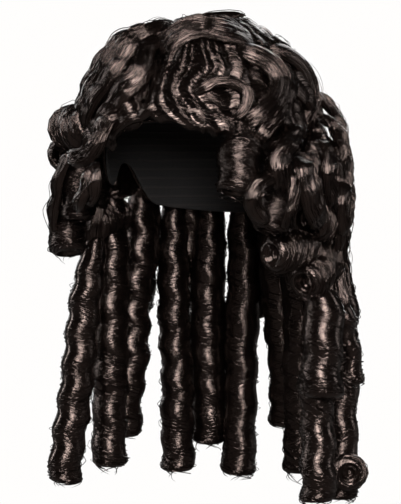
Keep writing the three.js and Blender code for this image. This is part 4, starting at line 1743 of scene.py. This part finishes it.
def makeCamera():
    turn = math.radians(camera["azimuth"])
    right = Vector((math.cos(turn), math.sin(turn), 0))
    aim = Vector((0, 0, target["height"])) + right * target["shift"]
    data = bpy.data.cameras.new("camera")
    halfHeight = camera["metresPerPixel"] * camera["pixels"] / 2
    data.lens = data.sensor_width / 2 / (halfHeight / camera["distance"])
    bpy.context.scene.camera = placeLooking("camera", data, aim, camera)


# Area lights: degrees round and up, metres away, metres wide and high, and watts
lights = {
    "front window": {"azimuth": 24, "elevation": 28, "distance": 1.9, "size": (0.45, 1.5), "power": 84},
    "left strip": {"azimuth": -78, "elevation": 20, "distance": 1.9, "size": (0.30, 1.2), "power": 13},
    "right strip": {"azimuth": 112, "elevation": 20, "distance": 1.9, "size": (0.30, 1.2), "power": 6},
    "back strip": {"azimuth": 185, "elevation": 20, "distance": 2, "size": (0.5, 1.6), "power": 10},
    "far back strip": {"azimuth": 235, "elevation": 20, "distance": 2, "size": (0.4, 1.4), "power": 7},
}


def makeLight(name, row):
    data = bpy.data.lights.new(name, "AREA")
    data.shape = "RECTANGLE"
    data.size, data.size_y = row["size"]
    data.energy = row["power"]
    placeLooking(name, data, Vector((0, 0, target["height"])), row)


# The room is pale behind and below the wig, and dim in what it reflects
room = {
    "seen": (1.0, 0.99, 0.98, 1),
    "seenStrength": 1.0,
    "fill": (1.0, 0.95, 0.92, 1),
    "fillStrength": 0.02,
    "floor": (0.12, 0.11, 0.105, 1),
    "floorStrength": 1.0,
    "floorHalf": 9.0,
    "floorDrop": 0.03,
}


# Ends a tree with one shader for what the camera sees directly and another for all other light
def endSeen(maker, other, seen, output):
    direct = maker.node("ShaderNodeLightPath")
    both = maker.node("ShaderNodeMixShader", None, {0: direct, 1: other, 2: seen})
    maker.node(output, None, {"Surface": both})


def makeFloor(look):
    mesh = bpy.data.meshes.new("floor")
    half = look["floorHalf"]
    height = cadBox[0].z - look["floorDrop"]
    corners = [(-half, -half), (half, -half), (half, half), (-half, half)]
    mesh.from_pydata([(x, y, height) for x, y in corners], [], [(0, 1, 2, 3)])
    floor = newObject("floor", mesh)
    material, maker = emptyMaterial("pale floor")
    matt = maker.node("ShaderNodeBsdfDiffuse", None, {"Color": look["floor"]})
    shine = {"Color": look["seen"], "Strength": look["floorStrength"]}
    glow = maker.node("ShaderNodeEmission", None, shine)
    endSeen(maker, matt, glow, "ShaderNodeOutputMaterial")
    mesh.materials.append(material)


def makeWorld(look):
    world = bpy.data.worlds.new("pale room")
    bpy.context.scene.world = world
    world.use_nodes = True
    world.node_tree.nodes.clear()
    maker = Maker(world.node_tree)
    kind = "ShaderNodeBackground"
    seen = maker.node(kind, None, {"Color": look["seen"], "Strength": look["seenStrength"]})
    fill = maker.node(kind, None, {"Color": look["fill"], "Strength": look["fillStrength"]})
    endSeen(maker, fill, seen, "ShaderNodeOutputWorld")


makeCamera()
for lightName, lightRow in lights.items():
    makeLight(lightName, lightRow)
makeFloor(room)
makeWorld(room)
bpy.context.scene.view_settings.view_transform = "Standard"
print("stage set")
